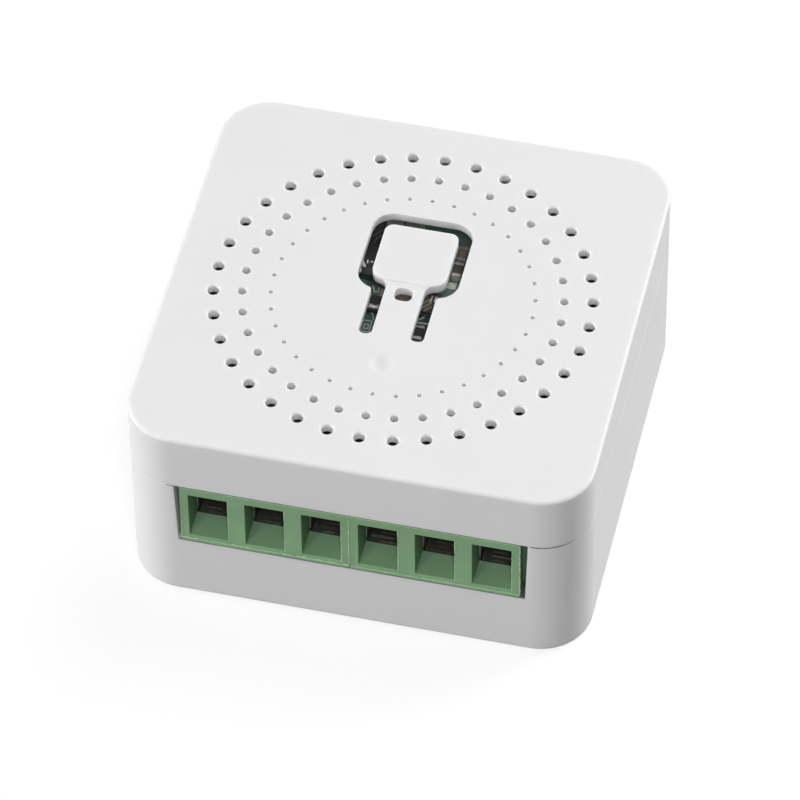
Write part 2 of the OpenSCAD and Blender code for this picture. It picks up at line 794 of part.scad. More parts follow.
module terminal_block_right() {
    color("seagreen") terminal_block(1 + block_poles);
}

// Six bars, each with a tail that rises through the board
module contact_bars() {
    color("gray") for (i = [1:poles]) {
        x = pole_x(i);
        block([x - bar_w / 2, throat_y, bar_z], [x + bar_w / 2, tail_y + bar_t, wire_z]);
        block([x - bar_w / 2, tail_y, bar_z], [x + bar_w / 2, tail_y + bar_t, board_z - thread_gap]);
        block([x - tail_w / 2, tail_y, bar_z], [x + tail_w / 2, tail_y + bar_t, board_top + tail_out]);
    }
}

// A sheet metal frame round the wire, threaded at its lower end
module clamp_cage(i) {
    x = pole_x(i);
    color("darkgray") difference() {
        block([x - cage_w / 2, cage_y, cage_z], [x + cage_w / 2, cage_y + cage_l, cage_z + cage_h]);
        block(
            [x - wire_w / 2, cage_y - past, cage_z + nut_t],
            [x + wire_w / 2, cage_y + cage_l + past, cage_z + cage_h - cage_sheet]
        );
        translate([x, screw_y, cage_z - past])
            cylinder(d = thread_d + 2 * thread_gap, h = past + nut_t + cage_travel + thread_gap);
    }
}

// A slotted screw, head down, whose tip bears on the contact bar
module clamp_screw(i) {
    x = pole_x(i);
    color("silver") difference() {
        union() {
            translate([x, screw_y, screw_z]) cylinder(d = screw_head_d, h = screw_head_h);
            translate([x, screw_y, screw_z]) cylinder(d = thread_d, h = bar_z - thread_gap - screw_z);
        }
        block(
            [x - screw_head_d, screw_y - screw_slot_w / 2, screw_z - past],
            [x + screw_head_d, screw_y + screw_slot_w / 2, screw_z + screw_slot_depth]
        );
    }
}

module relay_base() {
    inset = relay_wall + relay_fit;
    color("dimgray") block(
        [relay_x0 + inset, relay_y0 + inset, relay_base_z],
        [relay_x1 - inset, relay_y1 - inset, relay_top]
    );
}

module relay_cover() {
    color("black") difference() {
        block([relay_x0, relay_y0, relay_z], [relay_x1, relay_y1, relay_top]);
        block(
            [relay_x0 + relay_wall, relay_y0 + relay_wall, relay_in_z],
            [relay_x1 - relay_wall, relay_y1 - relay_wall, relay_top + past]
        );
    }
}

// A cylinder along X, from the left end of the coil
module coil_rod(x, d, l) {
    translate([x, coil_y, coil_z]) rotate([0, 90, 0]) cylinder(d = d, h = l);
}

module relay_bobbin() {
    color("ivory") difference() {
        union() {
            coil_rod(coil_x, barrel_d, bobbin_l);
            for (x = [coil_x, coil_x + bobbin_l - flange_t])
                translate([x, coil_y - flange_w / 2, coil_z - flange_w / 2])
                    cube([flange_t, flange_w, flange_w]);
        }
        coil_rod(coil_x - past, core_d + 2 * thread_gap, bobbin_l + 2 * past);
    }
}

module relay_winding() {
    color("peru") difference() {
        coil_rod(coil_x + flange_t, winding_d, winding_l);
        coil_rod(coil_x + flange_t - past, barrel_d + 2 * relay_fit, winding_l + 2 * past);
    }
}

module relay_core() {
    color("silver") coil_rod(coil_x, core_d, core_face_x - coil_x);
}

// An angle of iron behind and above the coil, grooved at its end for the armature
module relay_yoke() {
    half = yoke_w / 2;
    color("gray") difference() {
        union() {
            block([coil_x - yoke_t, coil_y - half, coil_z - half], [coil_x, coil_y + half, yoke_z + yoke_t]);
            block(
                [coil_x - yoke_t, coil_y - half, yoke_z],
                [pivot_x - thread_gap, coil_y + half, yoke_z + yoke_t]
            );
        }
        translate([pivot_x, coil_y, pivot_z]) rotate([90, 0, 0])
            cylinder(r = pivot_r + thread_gap, h = 2 * yoke_w, center = true);
        block(
            [armature_x - run_gap, coil_y - yoke_w, yoke_z - past],
            [pivot_x + past, coil_y + yoke_w, pivot_z]
        );
    }
}

// A hinged plate that carries the moving contact
module relay_armature() {
    half = yoke_w / 2;
    low_z = coil_z - core_d;
    color("darkgray") {
        translate([pivot_x, coil_y, pivot_z]) rotate([90, 0, 0])
            cylinder(r = pivot_r, h = yoke_w, center = true);
        block([armature_x, coil_y - half, low_z], [armature_x + armature_t, coil_y + half, pivot_z]);
        block(
            [armature_x, coil_y + half - blade_w / 2, contact_z - blade_w / 2],
            [armature_x + blade_t, blade_y + blade_w / 2, contact_z + blade_w / 2]
        );
        translate([armature_x - rivet_h, blade_y, contact_z]) rotate([0, 90, 0])
            cylinder(d = rivet_d, h = rivet_h + blade_t / 2);
    }
}

// Fixed contact, hung from the relay base
module relay_contact() {
    color("goldenrod") {
        block(
            [fixed_blade_x, blade_y - blade_w / 2, contact_z - blade_w / 2],
            [fixed_blade_x + blade_t, blade_y + blade_w / 2, relay_base_z]
        );
        translate([fixed_blade_x + blade_t / 2, blade_y, contact_z]) rotate([0, 90, 0])
            cylinder(d = rivet_d, h = blade_t / 2 + rivet_h);
    }
}

// Pins that rise from the relay base through the board
function pin_places() = [
    [relay_x0 + pin_inset, relay_y1 - pin_inset],
    [(relay_x0 + relay_x1) / 2, relay_y0 + pin_inset],
    [(relay_x0 + relay_x1) / 2, relay_y1 - pin_inset],
    [relay_x1 - pin_inset, relay_y0 + pin_inset],
    [relay_x1 - pin_inset, relay_y1 - pin_inset]
];

module relay_pins() {
    color("silver") for (p = pin_places())
        translate([p[0], p[1], relay_top]) cylinder(d = pin_d, h = board_top + tail_out - relay_top);
}

// Pairs of leads of the hanging parts, where they pass the board
function lead_pair(x, y, half) = [[x - half, y], [x + half, y]];
function lead_places() = concat(
    lead_pair(caps_x, cap_y1, cap_spread / 2),
    lead_pair(caps_x, cap_y2, cap_spread / 2),
    lead_pair(inductor_x, inductor_y, inductor_spread / 2),
    lead_pair(varistor_x, varistor_y, varistor_spread / 2),
    lead_pair(fuse_x, fuse_y, fuse_reach)
);

// Two leads that rise from a hanging part through the board
module leads(x, y, half, z) {
    for (p = lead_pair(x, y, half))
        translate([p[0], p[1], z]) cylinder(d = lead_d, h = board_top + tail_out - z);
}

module capacitors() {
    color("midnightblue") for (y = [cap_y1, cap_y2]) {
        translate([caps_x, y, hang_z - cap_l]) cylinder(d = cap_d, h = cap_l);
        leads(caps_x, y, cap_spread / 2, hang_z - cap_l / 2);
    }
}

// A drum core: two discs on a wound waist
module inductor() {
    color("dimgray") translate([inductor_x, inductor_y, hang_z - inductor_l]) {
        cylinder(d = inductor_d, h = inductor_rim);
        cylinder(d = inductor_d - 2 * inductor_lip, h = inductor_l);
        translate([0, 0, inductor_l - inductor_rim]) cylinder(d = inductor_d, h = inductor_rim);
    }
    color("silver") leads(inductor_x, inductor_y, inductor_spread / 2, hang_z - inductor_l / 2);
}

module varistor() {
    color("royalblue") {
        translate([varistor_x, varistor_y, hang_z - varistor_d / 2]) rotate([90, 0, 0])
            cylinder(d = varistor_d, h = varistor_t, center = true);
        leads(varistor_x, varistor_y, varistor_spread / 2, hang_z - varistor_d / 2);
    }
}

module fuse_resistor() {
    axis_z = hang_z - fuse_d / 2;
    color("darkolivegreen") {
        translate([fuse_x, fuse_y, axis_z]) rotate([0, 90, 0]) {
            cylinder(d = fuse_d, h = fuse_l, center = true);
            cylinder(d = lead_d, h = 2 * fuse_reach, center = true);
        }
        leads(fuse_x, fuse_y, fuse_reach, axis_z);
        for (p = lead_pair(fuse_x, fuse_y, fuse_reach)) translate([p[0], p[1], axis_z]) sphere(d = lead_d);
    }
}

// A chip in a plain body on the board
module board_chip(xy, w, d, h) {
    translate([xy[0] - w / 2, xy[1] - d / 2, board_top]) cube([w, d, h]);
}

module bridge_rectifier() {
    color("black") board_chip(bridge_xy, bridge_w, bridge_d, bridge_h);
}

module converter_chip() {
    color("black") board_chip(converter_xy, converter_w, converter_d, converter_h);
}

module driver_transistor() {
    color("black") board_chip(driver_xy, driver_w, driver_d, driver_h);
}

// Turns a part that lies along X to its place on the board
module at_place(p) {
    translate([p[0], p[1], board_top]) rotate(p[2] ? 90 : 0) children();
}

// Body of a chip part between its metal ends
module chip_body(h) {
    body_l = chip_l - 2 * chip_end;
    translate([-body_l / 2, -chip_w / 2, 0]) cube([body_l, chip_w, h]);
}

module chip_resistors() {
    color("black") for (p = resistor_places) at_place(p) chip_body(chip_h);
}

module chip_capacitors() {
    color("sienna") for (p = capacitor_places) at_place(p) chip_body(chip_cap_h);
}

// Two metal ends of a chip part
module chip_end_pair(h) {
    for (sx = [0, 1]) mirror([sx, 0, 0])
        translate([chip_l / 2 - chip_end, -chip_w / 2, 0]) cube([chip_end, chip_w, h]);
}

module chip_ends() {
    color("silver") {
        for (p = resistor_places) at_place(p) chip_end_pair(chip_h);
        for (p = capacitor_places) at_place(p) chip_end_pair(chip_cap_h);
    }
}

base_shell();
top_cover();
button_flap();
main_board();
switch_body();
switch_plunger();
status_led();
radio_board();
radio_shield();
radio_chip();
terminal_block_left();
terminal_block_right();
contact_bars();
for (i = [1:poles]) {
    clamp_cage(i);
    clamp_screw(i);
}
relay_base();
relay_cover();
relay_bobbin();
relay_winding();
relay_core();
relay_yoke();
relay_armature();
relay_contact();
relay_pins();
capacitors();
inductor();
varistor();
fuse_resistor();
bridge_rectifier();
converter_chip();
driver_transistor();
chip_resistors();
chip_capacitors();
chip_ends();
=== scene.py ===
"""Looks of a mini smart relay module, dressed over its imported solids.

Lengths are metres unless a name says mm. X runs along the terminal front, Y to the back, Z up.
"""
import json
import math
import random

import bmesh
import bpy
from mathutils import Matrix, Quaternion, Vector


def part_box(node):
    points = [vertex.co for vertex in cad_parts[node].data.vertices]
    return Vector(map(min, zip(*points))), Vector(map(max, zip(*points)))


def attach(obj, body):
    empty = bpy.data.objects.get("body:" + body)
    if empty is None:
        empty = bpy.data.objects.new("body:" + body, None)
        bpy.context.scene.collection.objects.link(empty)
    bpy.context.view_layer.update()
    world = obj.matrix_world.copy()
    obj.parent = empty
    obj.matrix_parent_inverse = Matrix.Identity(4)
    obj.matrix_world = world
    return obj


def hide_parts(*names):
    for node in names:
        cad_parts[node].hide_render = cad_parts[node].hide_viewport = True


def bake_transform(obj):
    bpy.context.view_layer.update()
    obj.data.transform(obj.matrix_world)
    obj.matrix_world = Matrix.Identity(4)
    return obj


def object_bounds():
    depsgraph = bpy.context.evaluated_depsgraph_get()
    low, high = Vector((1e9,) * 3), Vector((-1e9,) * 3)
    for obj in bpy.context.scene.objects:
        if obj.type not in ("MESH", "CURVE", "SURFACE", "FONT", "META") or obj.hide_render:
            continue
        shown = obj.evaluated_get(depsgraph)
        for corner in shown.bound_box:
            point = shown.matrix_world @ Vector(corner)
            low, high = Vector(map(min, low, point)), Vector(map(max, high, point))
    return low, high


MM = 0.001
WHITE = (1, 1, 1, 1)

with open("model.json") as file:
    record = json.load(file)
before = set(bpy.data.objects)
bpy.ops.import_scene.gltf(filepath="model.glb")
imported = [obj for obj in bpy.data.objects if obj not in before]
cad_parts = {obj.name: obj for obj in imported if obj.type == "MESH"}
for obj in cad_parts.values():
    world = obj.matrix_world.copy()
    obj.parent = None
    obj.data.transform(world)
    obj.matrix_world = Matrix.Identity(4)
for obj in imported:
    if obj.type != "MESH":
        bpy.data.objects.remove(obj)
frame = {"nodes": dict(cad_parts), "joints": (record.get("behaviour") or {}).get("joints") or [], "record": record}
cad_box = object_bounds()
nodes = frame["nodes"]
joints = {joint["name"]: joint for joint in frame["joints"]}
slot_of = {part["node"]: part["material_slot"] for part in frame["record"]["subparts"]}

# Camera, at the angle of the photograph
IMAGE_PX = 800
FOCAL_PX = 5836.75
SENSOR_MM = 36
CAMERA_AZIMUTH = 13.80
CAMERA_ELEVATION = 49.05
CAMERA_ROLL = -0.916
CAMERA_DISTANCE = 511.45 * MM
CAMERA_TARGET = Vector((0.41, -3.363, 10.0)) * MM
CLIP_START = CAMERA_DISTANCE / 100

# Lamps: azimuth from the front and elevation in degrees, level on a surface that faces the lamp, width
LAMP_DISTANCE = 0.7
LAMPS = {
    "key": (-40, 7, 0.40, 0.28),
    "left": (-88, 12, 0.60, 0.28),
    "fill": (16, 52, 0.44, 0.16),
    "side": (130, 12, 0.62, 0.28),
    "top": (150, 58, 0.46, 0.40),
}
SKY_LEVEL = 0.03

# Floor: its colour for the light, its colour and glow where it is seen, its size and the gap below the case
FLOOR_BOUNCE = 0.15
FLOOR_GLOW = 0.74
FLOOR_TONE = 0.3
FLOOR_HALF = 3.0
FLOOR_GAP = 0.02 * MM

# Places in the frame
board_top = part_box("main_board")[1].z
radio_low, radio_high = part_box("radio_board")
case_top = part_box("top_cover")[1].z
flap_low, flap_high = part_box("button_flap")
switch_low, switch_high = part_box("switch_body")
hinge = Vector(joints["button_press"]["pos_m"])
left_low, left_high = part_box("terminal_block_left")
right_low, right_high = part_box("terminal_block_right")
pole_x = [joints[f"screw_{i}_turn"]["pos_m"][0] for i in range(1, 7)]


def link(obj):
    """Puts an object into the scene."""
    bpy.context.scene.collection.objects.link(obj)


def direction(azimuth, elevation):
    """Unit vector from the object towards a place, with azimuth 0 at the front."""
    a = math.radians(azimuth)
    e = math.radians(elevation)
    return Vector((math.sin(a) * math.cos(e), -math.cos(a) * math.cos(e), math.sin(e)))


def add_camera():
    """The camera of the photograph."""
    data = bpy.data.cameras.new("camera")
    data.sensor_width = SENSOR_MM
    data.lens = FOCAL_PX * SENSOR_MM / IMAGE_PX
    data.clip_start = CLIP_START
    camera = bpy.data.objects.new("camera", data)
    back = direction(CAMERA_AZIMUTH, CAMERA_ELEVATION)
    camera.location = CAMERA_TARGET + back * CAMERA_DISTANCE
    camera.rotation_mode = "QUATERNION"
    roll = Quaternion((0, 0, 1), math.radians(CAMERA_ROLL))
    camera.rotation_quaternion = (-back).to_track_quat("-Z", "Y") @ roll
    link(camera)
    bpy.context.scene.camera = camera


def add_lamp(name, azimuth, elevation, level, width):
    """A square soft box that gives the level, where 1 shows a colour as it is written."""
    data = bpy.data.lights.new(name, "AREA")
    data.size = width
    data.energy = level * (math.pi * LAMP_DISTANCE) ** 2
    lamp = bpy.data.objects.new(name, data)
    way = direction(azimuth, elevation)
    lamp.location = CAMERA_TARGET + way * LAMP_DISTANCE
    lamp.rotation_mode = "QUATERNION"
    lamp.rotation_quaternion = (-way).to_track_quat("-Z", "Y")
    link(lamp)


def seen_ray(tree):
    """Socket that is 1 for rays that show the background: camera, glossy and transmission rays."""
    path = tree.nodes.new("ShaderNodeLightPath")
    first = tree.nodes.new("ShaderNodeMath")
    first.operation = "ADD"
    second = tree.nodes.new("ShaderNodeMath")
    second.operation = "ADD"
    second.use_clamp = True
    tree.links.new(path.outputs["Is Camera Ray"], first.inputs[0])
    tree.links.new(path.outputs["Is Glossy Ray"], first.inputs[1])
    tree.links.new(first.outputs[0], second.inputs[0])
    tree.links.new(path.outputs["Is Transmission Ray"], second.inputs[1])
    return second.outputs[0]


def add_world():
    """A white backdrop for the eye and a faint sky for the light."""
    world = bpy.data.worlds.new("studio")
    world.use_nodes = True
    tree = world.node_tree
    tree.nodes.clear()
    sky = tree.nodes.new("ShaderNodeBackground")
    sky.inputs["Color"].default_value = WHITE
    sky.inputs["Strength"].default_value = SKY_LEVEL
    white = tree.nodes.new("ShaderNodeBackground")
    white.inputs["Color"].default_value = WHITE
    white.inputs["Strength"].default_value = 1
    mix = tree.nodes.new("ShaderNodeMixShader")
    out = tree.nodes.new("ShaderNodeOutputWorld")
    tree.links.new(seen_ray(tree), mix.inputs[0])
    tree.links.new(sky.outputs[0], mix.inputs[1])
    tree.links.new(white.outputs[0], mix.inputs[2])
    tree.links.new(mix.outputs[0], out.inputs["Surface"])
    bpy.context.scene.world = world


def floor_material():
    """White where it is seen, with a faint shadow, and a mild bounce for the light."""
    mat = bpy.data.materials.new("floor")
    mat.use_nodes = True
    tree = mat.node_tree
    tree.nodes.clear()
    bounce = tree.nodes.new("ShaderNodeBsdfDiffuse")
    bounce.inputs["Color"].default_value = (FLOOR_BOUNCE, FLOOR_BOUNCE, FLOOR_BOUNCE, 1)
    tone = tree.nodes.new("ShaderNodeBsdfDiffuse")
    tone.inputs["Color"].default_value = (FLOOR_TONE, FLOOR_TONE, FLOOR_TONE, 1)
    glow = tree.nodes.new("ShaderNodeEmission")
    glow.inputs["Strength"].default_value = FLOOR_GLOW
    both = tree.nodes.new("ShaderNodeAddShader")
    mix = tree.nodes.new("ShaderNodeMixShader")
    out = tree.nodes.new("ShaderNodeOutputMaterial")
    tree.links.new(tone.outputs[0], both.inputs[0])
    tree.links.new(glow.outputs[0], both.inputs[1])
    tree.links.new(seen_ray(tree), mix.inputs[0])
    tree.links.new(bounce.outputs[0], mix.inputs[1])
    tree.links.new(both.outputs[0], mix.inputs[2])
    tree.links.new(mix.outputs[0], out.inputs["Surface"])
    return mat


def add_floor():
    """A wide floor, a hair below the case so that their faces don't share a plane."""
    mesh = bpy.data.meshes.new("floor")
    turns = ((-1, -1), (1, -1), (1, 1), (-1, 1))
    corners = [(sx * FLOOR_HALF, sy * FLOOR_HALF, -FLOOR_GAP) for sx, sy in turns]
    mesh.from_pydata(corners, [], [(0, 1, 2, 3)])
    floor = bpy.data.objects.new("floor", mesh)
    mesh.materials.append(floor_material())
    link(floor)


# Materials: middle range of a noise, its detail, swing of roughness, and spread of light in the case
NOISE_LOW = 0.3
NOISE_HIGH = 0.7
MOTTLE_DETAIL = 3
GRAIN_DETAIL = 4
ROUGHNESS_SWING = 0.12
SPREAD_MM = 0.5
SPREAD_SHARE = 0.8
SPREAD_NEAR_MM = 1.9
SPREAD_FAR_MM = 3.0


def object_noise(tree, scale, detail, stretch=(1, 1, 1)):
    """Noise over the object's own coordinates, with a scale in features per metre."""
    coords = tree.nodes.new("ShaderNodeTexCoord")
    mapping = tree.nodes.new("ShaderNodeMapping")
    mapping.inputs["Scale"].default_value = stretch
    noise = tree.nodes.new("ShaderNodeTexNoise")
    noise.inputs["Scale"].default_value = scale
    noise.inputs["Detail"].default_value = detail
    tree.links.new(coords.outputs["Object"], mapping.inputs["Vector"])
    tree.links.new(mapping.outputs["Vector"], noise.inputs["Vector"])
    return noise.outputs["Fac"]


def spread(tree, value, low, high):
    """Maps the middle of a noise to a range."""
    ranged = tree.nodes.new("ShaderNodeMapRange")
    ranged.inputs["From Min"].default_value = NOISE_LOW
    ranged.inputs["From Max"].default_value = NOISE_HIGH
    ranged.inputs["To Min"].default_value = low
    ranged.inputs["To Max"].default_value = high
    tree.links.new(value, ranged.inputs["Value"])
    return ranged.outputs["Result"]


def colour_mix(tree, factor, dark, light):
    """Socket that goes from one colour to the other with a factor."""
    mix = tree.nodes.new("ShaderNodeMix")
    mix.data_type = "RGBA"
    mix.inputs["A"].default_value = (*dark, 1)
    mix.inputs["B"].default_value = (*light, 1)
    tree.links.new(factor, mix.inputs["Factor"])
    return mix.outputs["Result"]


def y_tone_and_painted_shade(tree, colour, start_mm, end_mm, deep_colour):
    """Turns a colour into another one between two places in Y: painted shade that darkens the wire mouths deeper
    in, and a tone change on the chip capacitors.
    """
    coords = tree.nodes.new("ShaderNodeTexCoord")
    split = tree.nodes.new("ShaderNodeSeparateXYZ")
    ranged = tree.nodes.new("ShaderNodeMapRange")
    ranged.inputs["From Min"].default_value = start_mm * MM
    ranged.inputs["From Max"].default_value = end_mm * MM
    tree.links.new(coords.outputs["Object"], split.inputs[0])
    tree.links.new(split.outputs["Y"], ranged.inputs["Value"])
    result = colour_mix(tree, ranged.outputs["Result"], deep_colour, deep_colour)
    tree.links.new(colour, result.node.inputs["A"])
    return result


def inner_spread(tree, shader):
    """Lets light spread inside the plastic, apart from the place where the tongue leaves the cover."""
    coords = tree.nodes.new("ShaderNodeTexCoord")
    far = tree.nodes.new("ShaderNodeVectorMath")
    far.operation = "DISTANCE"
    far.inputs[1].default_value = hinge
    ranged = tree.nodes.new("ShaderNodeMapRange")
    ranged.inputs["From Min"].default_value = SPREAD_NEAR_MM * MM
    ranged.inputs["From Max"].default_value = SPREAD_FAR_MM * MM
    ranged.inputs["To Max"].default_value = SPREAD_SHARE
    tree.links.new(coords.outputs["Object"], far.inputs[0])
    tree.links.new(far.outputs["Value"], ranged.inputs["Value"])
    tree.links.new(ranged.outputs["Result"], shader.inputs["Subsurface Weight"])
    shader.inputs["Subsurface Radius"].default_value = (1, 1, 1)
    shader.inputs["Subsurface Scale"].default_value = SPREAD_MM * MM


def make_finish(name, colour, roughness, metal=0.0, specular=0.5, mottle=0.04, mottle_mm=3.0,
                grain_mm=0.2, grain_depth=0.002, stretch=(1, 1, 1), coat=0.0, deep=(), spreads=False):
    """A procedural surface: mottled colour, uneven roughness and a fine grain.

    Deep lists stages of painted shade and tone: a start and an end in Y in millimetres, and the colour from the
    end on.
    """
    mat = bpy.data.materials.new(name)
    mat.use_nodes = True
    tree = mat.node_tree
    shader = tree.nodes["Principled BSDF"]
    shader.inputs["Metallic"].default_value = metal
    shader.inputs["Specular IOR Level"].default_value = specular
    shader.inputs["Coat Weight"].default_value = coat
    blotch = object_noise(tree, 1 / (mottle_mm * MM), MOTTLE_DETAIL)
    dark = [c * (1 - mottle) for c in colour]
    light = [min(1, c * (1 + mottle)) for c in colour]
    shade = spread(tree, blotch, 0, 1)
    tint = colour_mix(tree, shade, dark, light)
    for stage in deep:
        tint = y_tone_and_painted_shade(tree, tint, *stage)
    if spreads:
        inner_spread(tree, shader)
    tree.links.new(tint, shader.inputs["Base Color"])
    grain = object_noise(tree, 1 / (grain_mm * MM), GRAIN_DETAIL, stretch)
    swing = roughness * ROUGHNESS_SWING
    uneven = spread(tree, grain, roughness - swing, roughness + swing)
    tree.links.new(uneven, shader.inputs["Roughness"])
    bump = tree.nodes.new("ShaderNodeBump")
    bump.inputs["Distance"].default_value = grain_depth * MM
    tree.links.new(grain, bump.inputs["Height"])
    tree.links.new(bump.outputs["Normal"], shader.inputs["Normal"])
    return mat


# Stages of colour along Y: painted shade that darkens the wire mouths deeper in, and the chip capacitors darker
# towards the front
TERMINAL_PAINTED_SHADE = (
    (-20.27, -20.20, (0.096, 0.192, 0.092)),
    (-19.90, -18.70, (0.062, 0.130, 0.062)),
)
CERAMIC_DEEP = ((8.6, 8.3, (0.075, 0.075, 0.066)),)

# Finishes: those of the record's slots first, then those of the pieces added here
FINISHES = {
    "case_white": dict(colour=(0.80, 0.80, 0.81), roughness=0.5, specular=0.3, mottle=0.006, mottle_mm=6,
                       grain_mm=0.12, grain_depth=0.0015, spreads=True),
    "board_green": dict(colour=(0.052, 0.106, 0.082), roughness=0.32, mottle=0.25, mottle_mm=1.2,
                        grain_mm=0.15, grain_depth=0.002),
    "radio_black": dict(colour=(0.042, 0.047, 0.044), roughness=0.35, mottle=0.3, mottle_mm=1.0),
    # terminal_green: its stages paint shade into the wire mouths
    "terminal_green": dict(colour=(0.207, 0.360, 0.197), roughness=0.48, specular=0.35, mottle=0.05,
                           mottle_mm=2.0, grain_mm=0.15, grain_depth=0.002, deep=TERMINAL_PAINTED_SHADE),
    "clamp_steel": dict(colour=(0.50, 0.50, 0.49), roughness=0.34, metal=1.0, mottle=0.12, mottle_mm=0.8,
                        grain_mm=0.08, stretch=(1, 6, 1)),
    # contact_brass is darkened almost to black as painted shade of the wire mouths; the radio pads share it
    "contact_brass": dict(colour=(0.062, 0.066, 0.050), roughness=0.55, metal=0.6, mottle=0.2,
                          mottle_mm=0.6),
    "tinned_metal": dict(colour=(0.54, 0.53, 0.50), roughness=0.5, metal=0.7, mottle=0.25,
                         mottle_mm=0.4),
    "shield_metal": dict(colour=(0.62, 0.63, 0.64), roughness=0.3, metal=1.0, mottle=0.05, mottle_mm=2.0,
                         grain_mm=0.1, stretch=(1, 8, 1)),
    "black_plastic": dict(colour=(0.024, 0.024, 0.023), roughness=0.5, mottle=0.2, mottle_mm=0.6),
    "switch_brown": dict(colour=(0.130, 0.075, 0.060), roughness=0.42, mottle=0.15, mottle_mm=0.8),
    "light_lens": dict(colour=(0.72, 0.68, 0.5), roughness=0.2, mottle=0.08, mottle_mm=0.5, coat=0.5),
    "relay_plastic": dict(colour=(0.02, 0.02, 0.024), roughness=0.4, mottle=0.15, mottle_mm=2.0),
    "bobbin_plastic": dict(colour=(0.62, 0.57, 0.45), roughness=0.5, mottle=0.05),
    "copper_wire": dict(colour=(0.48, 0.16, 0.06), roughness=0.3, metal=0.8, mottle=0.15, mottle_mm=0.6),
    "soft_iron": dict(colour=(0.42, 0.42, 0.42), roughness=0.4, metal=1.0, mottle=0.12, mottle_mm=1.0),
    "can_blue": dict(colour=(0.012, 0.018, 0.06), roughness=0.3, mottle=0.1, coat=0.3),
    "varistor_blue": dict(colour=(0.02, 0.07, 0.3), roughness=0.35, mottle=0.1, grain_mm=0.5,
                          grain_depth=0.01, coat=0.3),
    "fuse_green": dict(colour=(0.07, 0.12, 0.05), roughness=0.4, mottle=0.12, grain_mm=0.3,
                       grain_depth=0.006),
    "ferrite": dict(colour=(0.03, 0.03, 0.032), roughness=0.6, mottle=0.25, mottle_mm=0.4),
    "ceramic_brown": dict(colour=(0.22, 0.155, 0.13), roughness=0.45, mottle=0.15, mottle_mm=0.4,
                          deep=CERAMIC_DEEP),
    # near-black teeth: painted shade of the wire mouths
    "teeth_painted_shade": dict(colour=(0.070, 0.072, 0.056), roughness=0.55, metal=0.6, mottle=0.3,
                         mottle_mm=0.5),
    "board_ink": dict(colour=(0.50, 0.53, 0.51), roughness=0.6, mottle=0.10, mottle_mm=0.3),
    # lighter mask over copper, partly painted light where the cover shades the board
    "board_pour_and_painted_light": dict(colour=(0.112, 0.175, 0.138), roughness=0.32, mottle=0.2, mottle_mm=1.0),
    "board_track": dict(colour=(0.105, 0.215, 0.160), roughness=0.32, mottle=0.2, mottle_mm=0.8),
    "coil_print": dict(colour=(0.38, 0.345, 0.30), roughness=0.45, mottle=0.2, mottle_mm=0.5),
    "coil_patch": dict(colour=(0.115, 0.095, 0.082), roughness=0.4, mottle=0.3, mottle_mm=0.4),
    # bare laminate, coloured lighter as painted light because the patch lies in shade under the window
    "laminate": dict(colour=(0.52, 0.37, 0.32), roughness=0.5, mottle=0.15, mottle_mm=0.4),
    # near-white tin: the metal's light grey with its glints painted in as colour
    "tin_and_painted_glint": dict(colour=(0.85, 0.84, 0.80), roughness=0.5, mottle=0.05, mottle_mm=0.3),
    # near-black strip: painted shade in the open parting line
    "parting_painted_shade": dict(colour=(0.10, 0.10, 0.10), roughness=0.7, mottle=0.2, mottle_mm=1.0),
    # grey strip: painted shadow on the sill under the terminals
    "sill_painted_shadow": dict(colour=(0.20, 0.20, 0.20), roughness=0.7, mottle=0.3, mottle_mm=1.5),
    # near-black green block: painted shade in the corner below the end rib
    "corner_painted_shade": dict(colour=(0.018, 0.026, 0.018), roughness=0.6, mottle=0.2, mottle_mm=0.5),
    "radio_line": dict(colour=(0.15, 0.15, 0.14), roughness=0.4, mottle=0.2, mottle_mm=0.4),
    # lighter than the housing green: the flash with a painted highlight
    "flash_and_painted_highlight": dict(colour=(0.42, 0.62, 0.38), roughness=0.4, mottle=0.15, mottle_mm=0.4),
}
materials = {name: make_finish(name, **values) for name, values in FINISHES.items()}


def dress_nodes():
    """Gives each CAD node the finish of its slot in the record."""
    for name, obj in nodes.items():
        obj.data.materials.clear()
        obj.data.materials.append(materials[slot_of[name]])


# Broken edges of the terminal housings
WELD_MM = 0.001
EDGE_ROUND_MM = 0.06
EDGE_SEGMENTS = 2
EDGE_ANGLE = 55


def round_edges(name):
    """Breaks the sharp edges of a CAD node with modifiers."""
    obj = nodes[name]
    weld = obj.modifiers.new("weld", "WELD")
    weld.merge_threshold = WELD_MM * MM
    bevel = obj.modifiers.new("rounded edges", "BEVEL")
    bevel.width = EDGE_ROUND_MM * MM
    bevel.segments = EDGE_SEGMENTS
    bevel.limit_method = "ANGLE"
    bevel.angle_limit = math.radians(EDGE_ANGLE)
    obj.modifiers.new("normals", "WEIGHTED_NORMAL")


# Mesh helpers: smooth shading below an angle, broken edges of plates, steps of turned forms, sharpest mitre
SMOOTH_ANGLE = 35
PLATE_EDGE_MM = 0.03
LATHE_STEPS = 20
MITRE_LIMIT = 0.4


def arc(cx, cy, r, start, stop, steps):
    """Points along an arc, with angles in degrees."""
    turns = [math.radians(start + (stop - start) * i / steps) for i in range(steps + 1)]
    return [(cx + r * math.cos(a), cy + r * math.sin(a)) for a in turns]


def add_piece(name, bm, body, finish_name, smooth_angle=SMOOTH_ANGLE):
    """Turns a mesh under construction into a piece that rides on a body."""
    bmesh.ops.recalc_face_normals(bm, faces=bm.faces[:])
    mesh = bpy.data.meshes.new(name)
    bm.to_mesh(mesh)
    bm.free()
    mesh.materials.append(materials[finish_name])
    mesh.polygons.foreach_set("use_smooth", [True] * len(mesh.polygons))
    mesh.set_sharp_from_angle(angle=math.radians(smooth_angle))
    obj = bpy.data.objects.new(name, mesh)
    link(obj)
    if body:
        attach(obj, body)
    return obj


def flat_on(level):
    """Maps millimetres on a board and a height above it to a place."""
    def place(u, v, h):
        return (u * MM, v * MM, level + h * MM)
    return place


def flat_front(level):
    """Maps millimetres along X and Z and a height out of a front face to a place."""
    def place(u, v, h):
        return (u * MM, level - h * MM, v * MM)
    return place


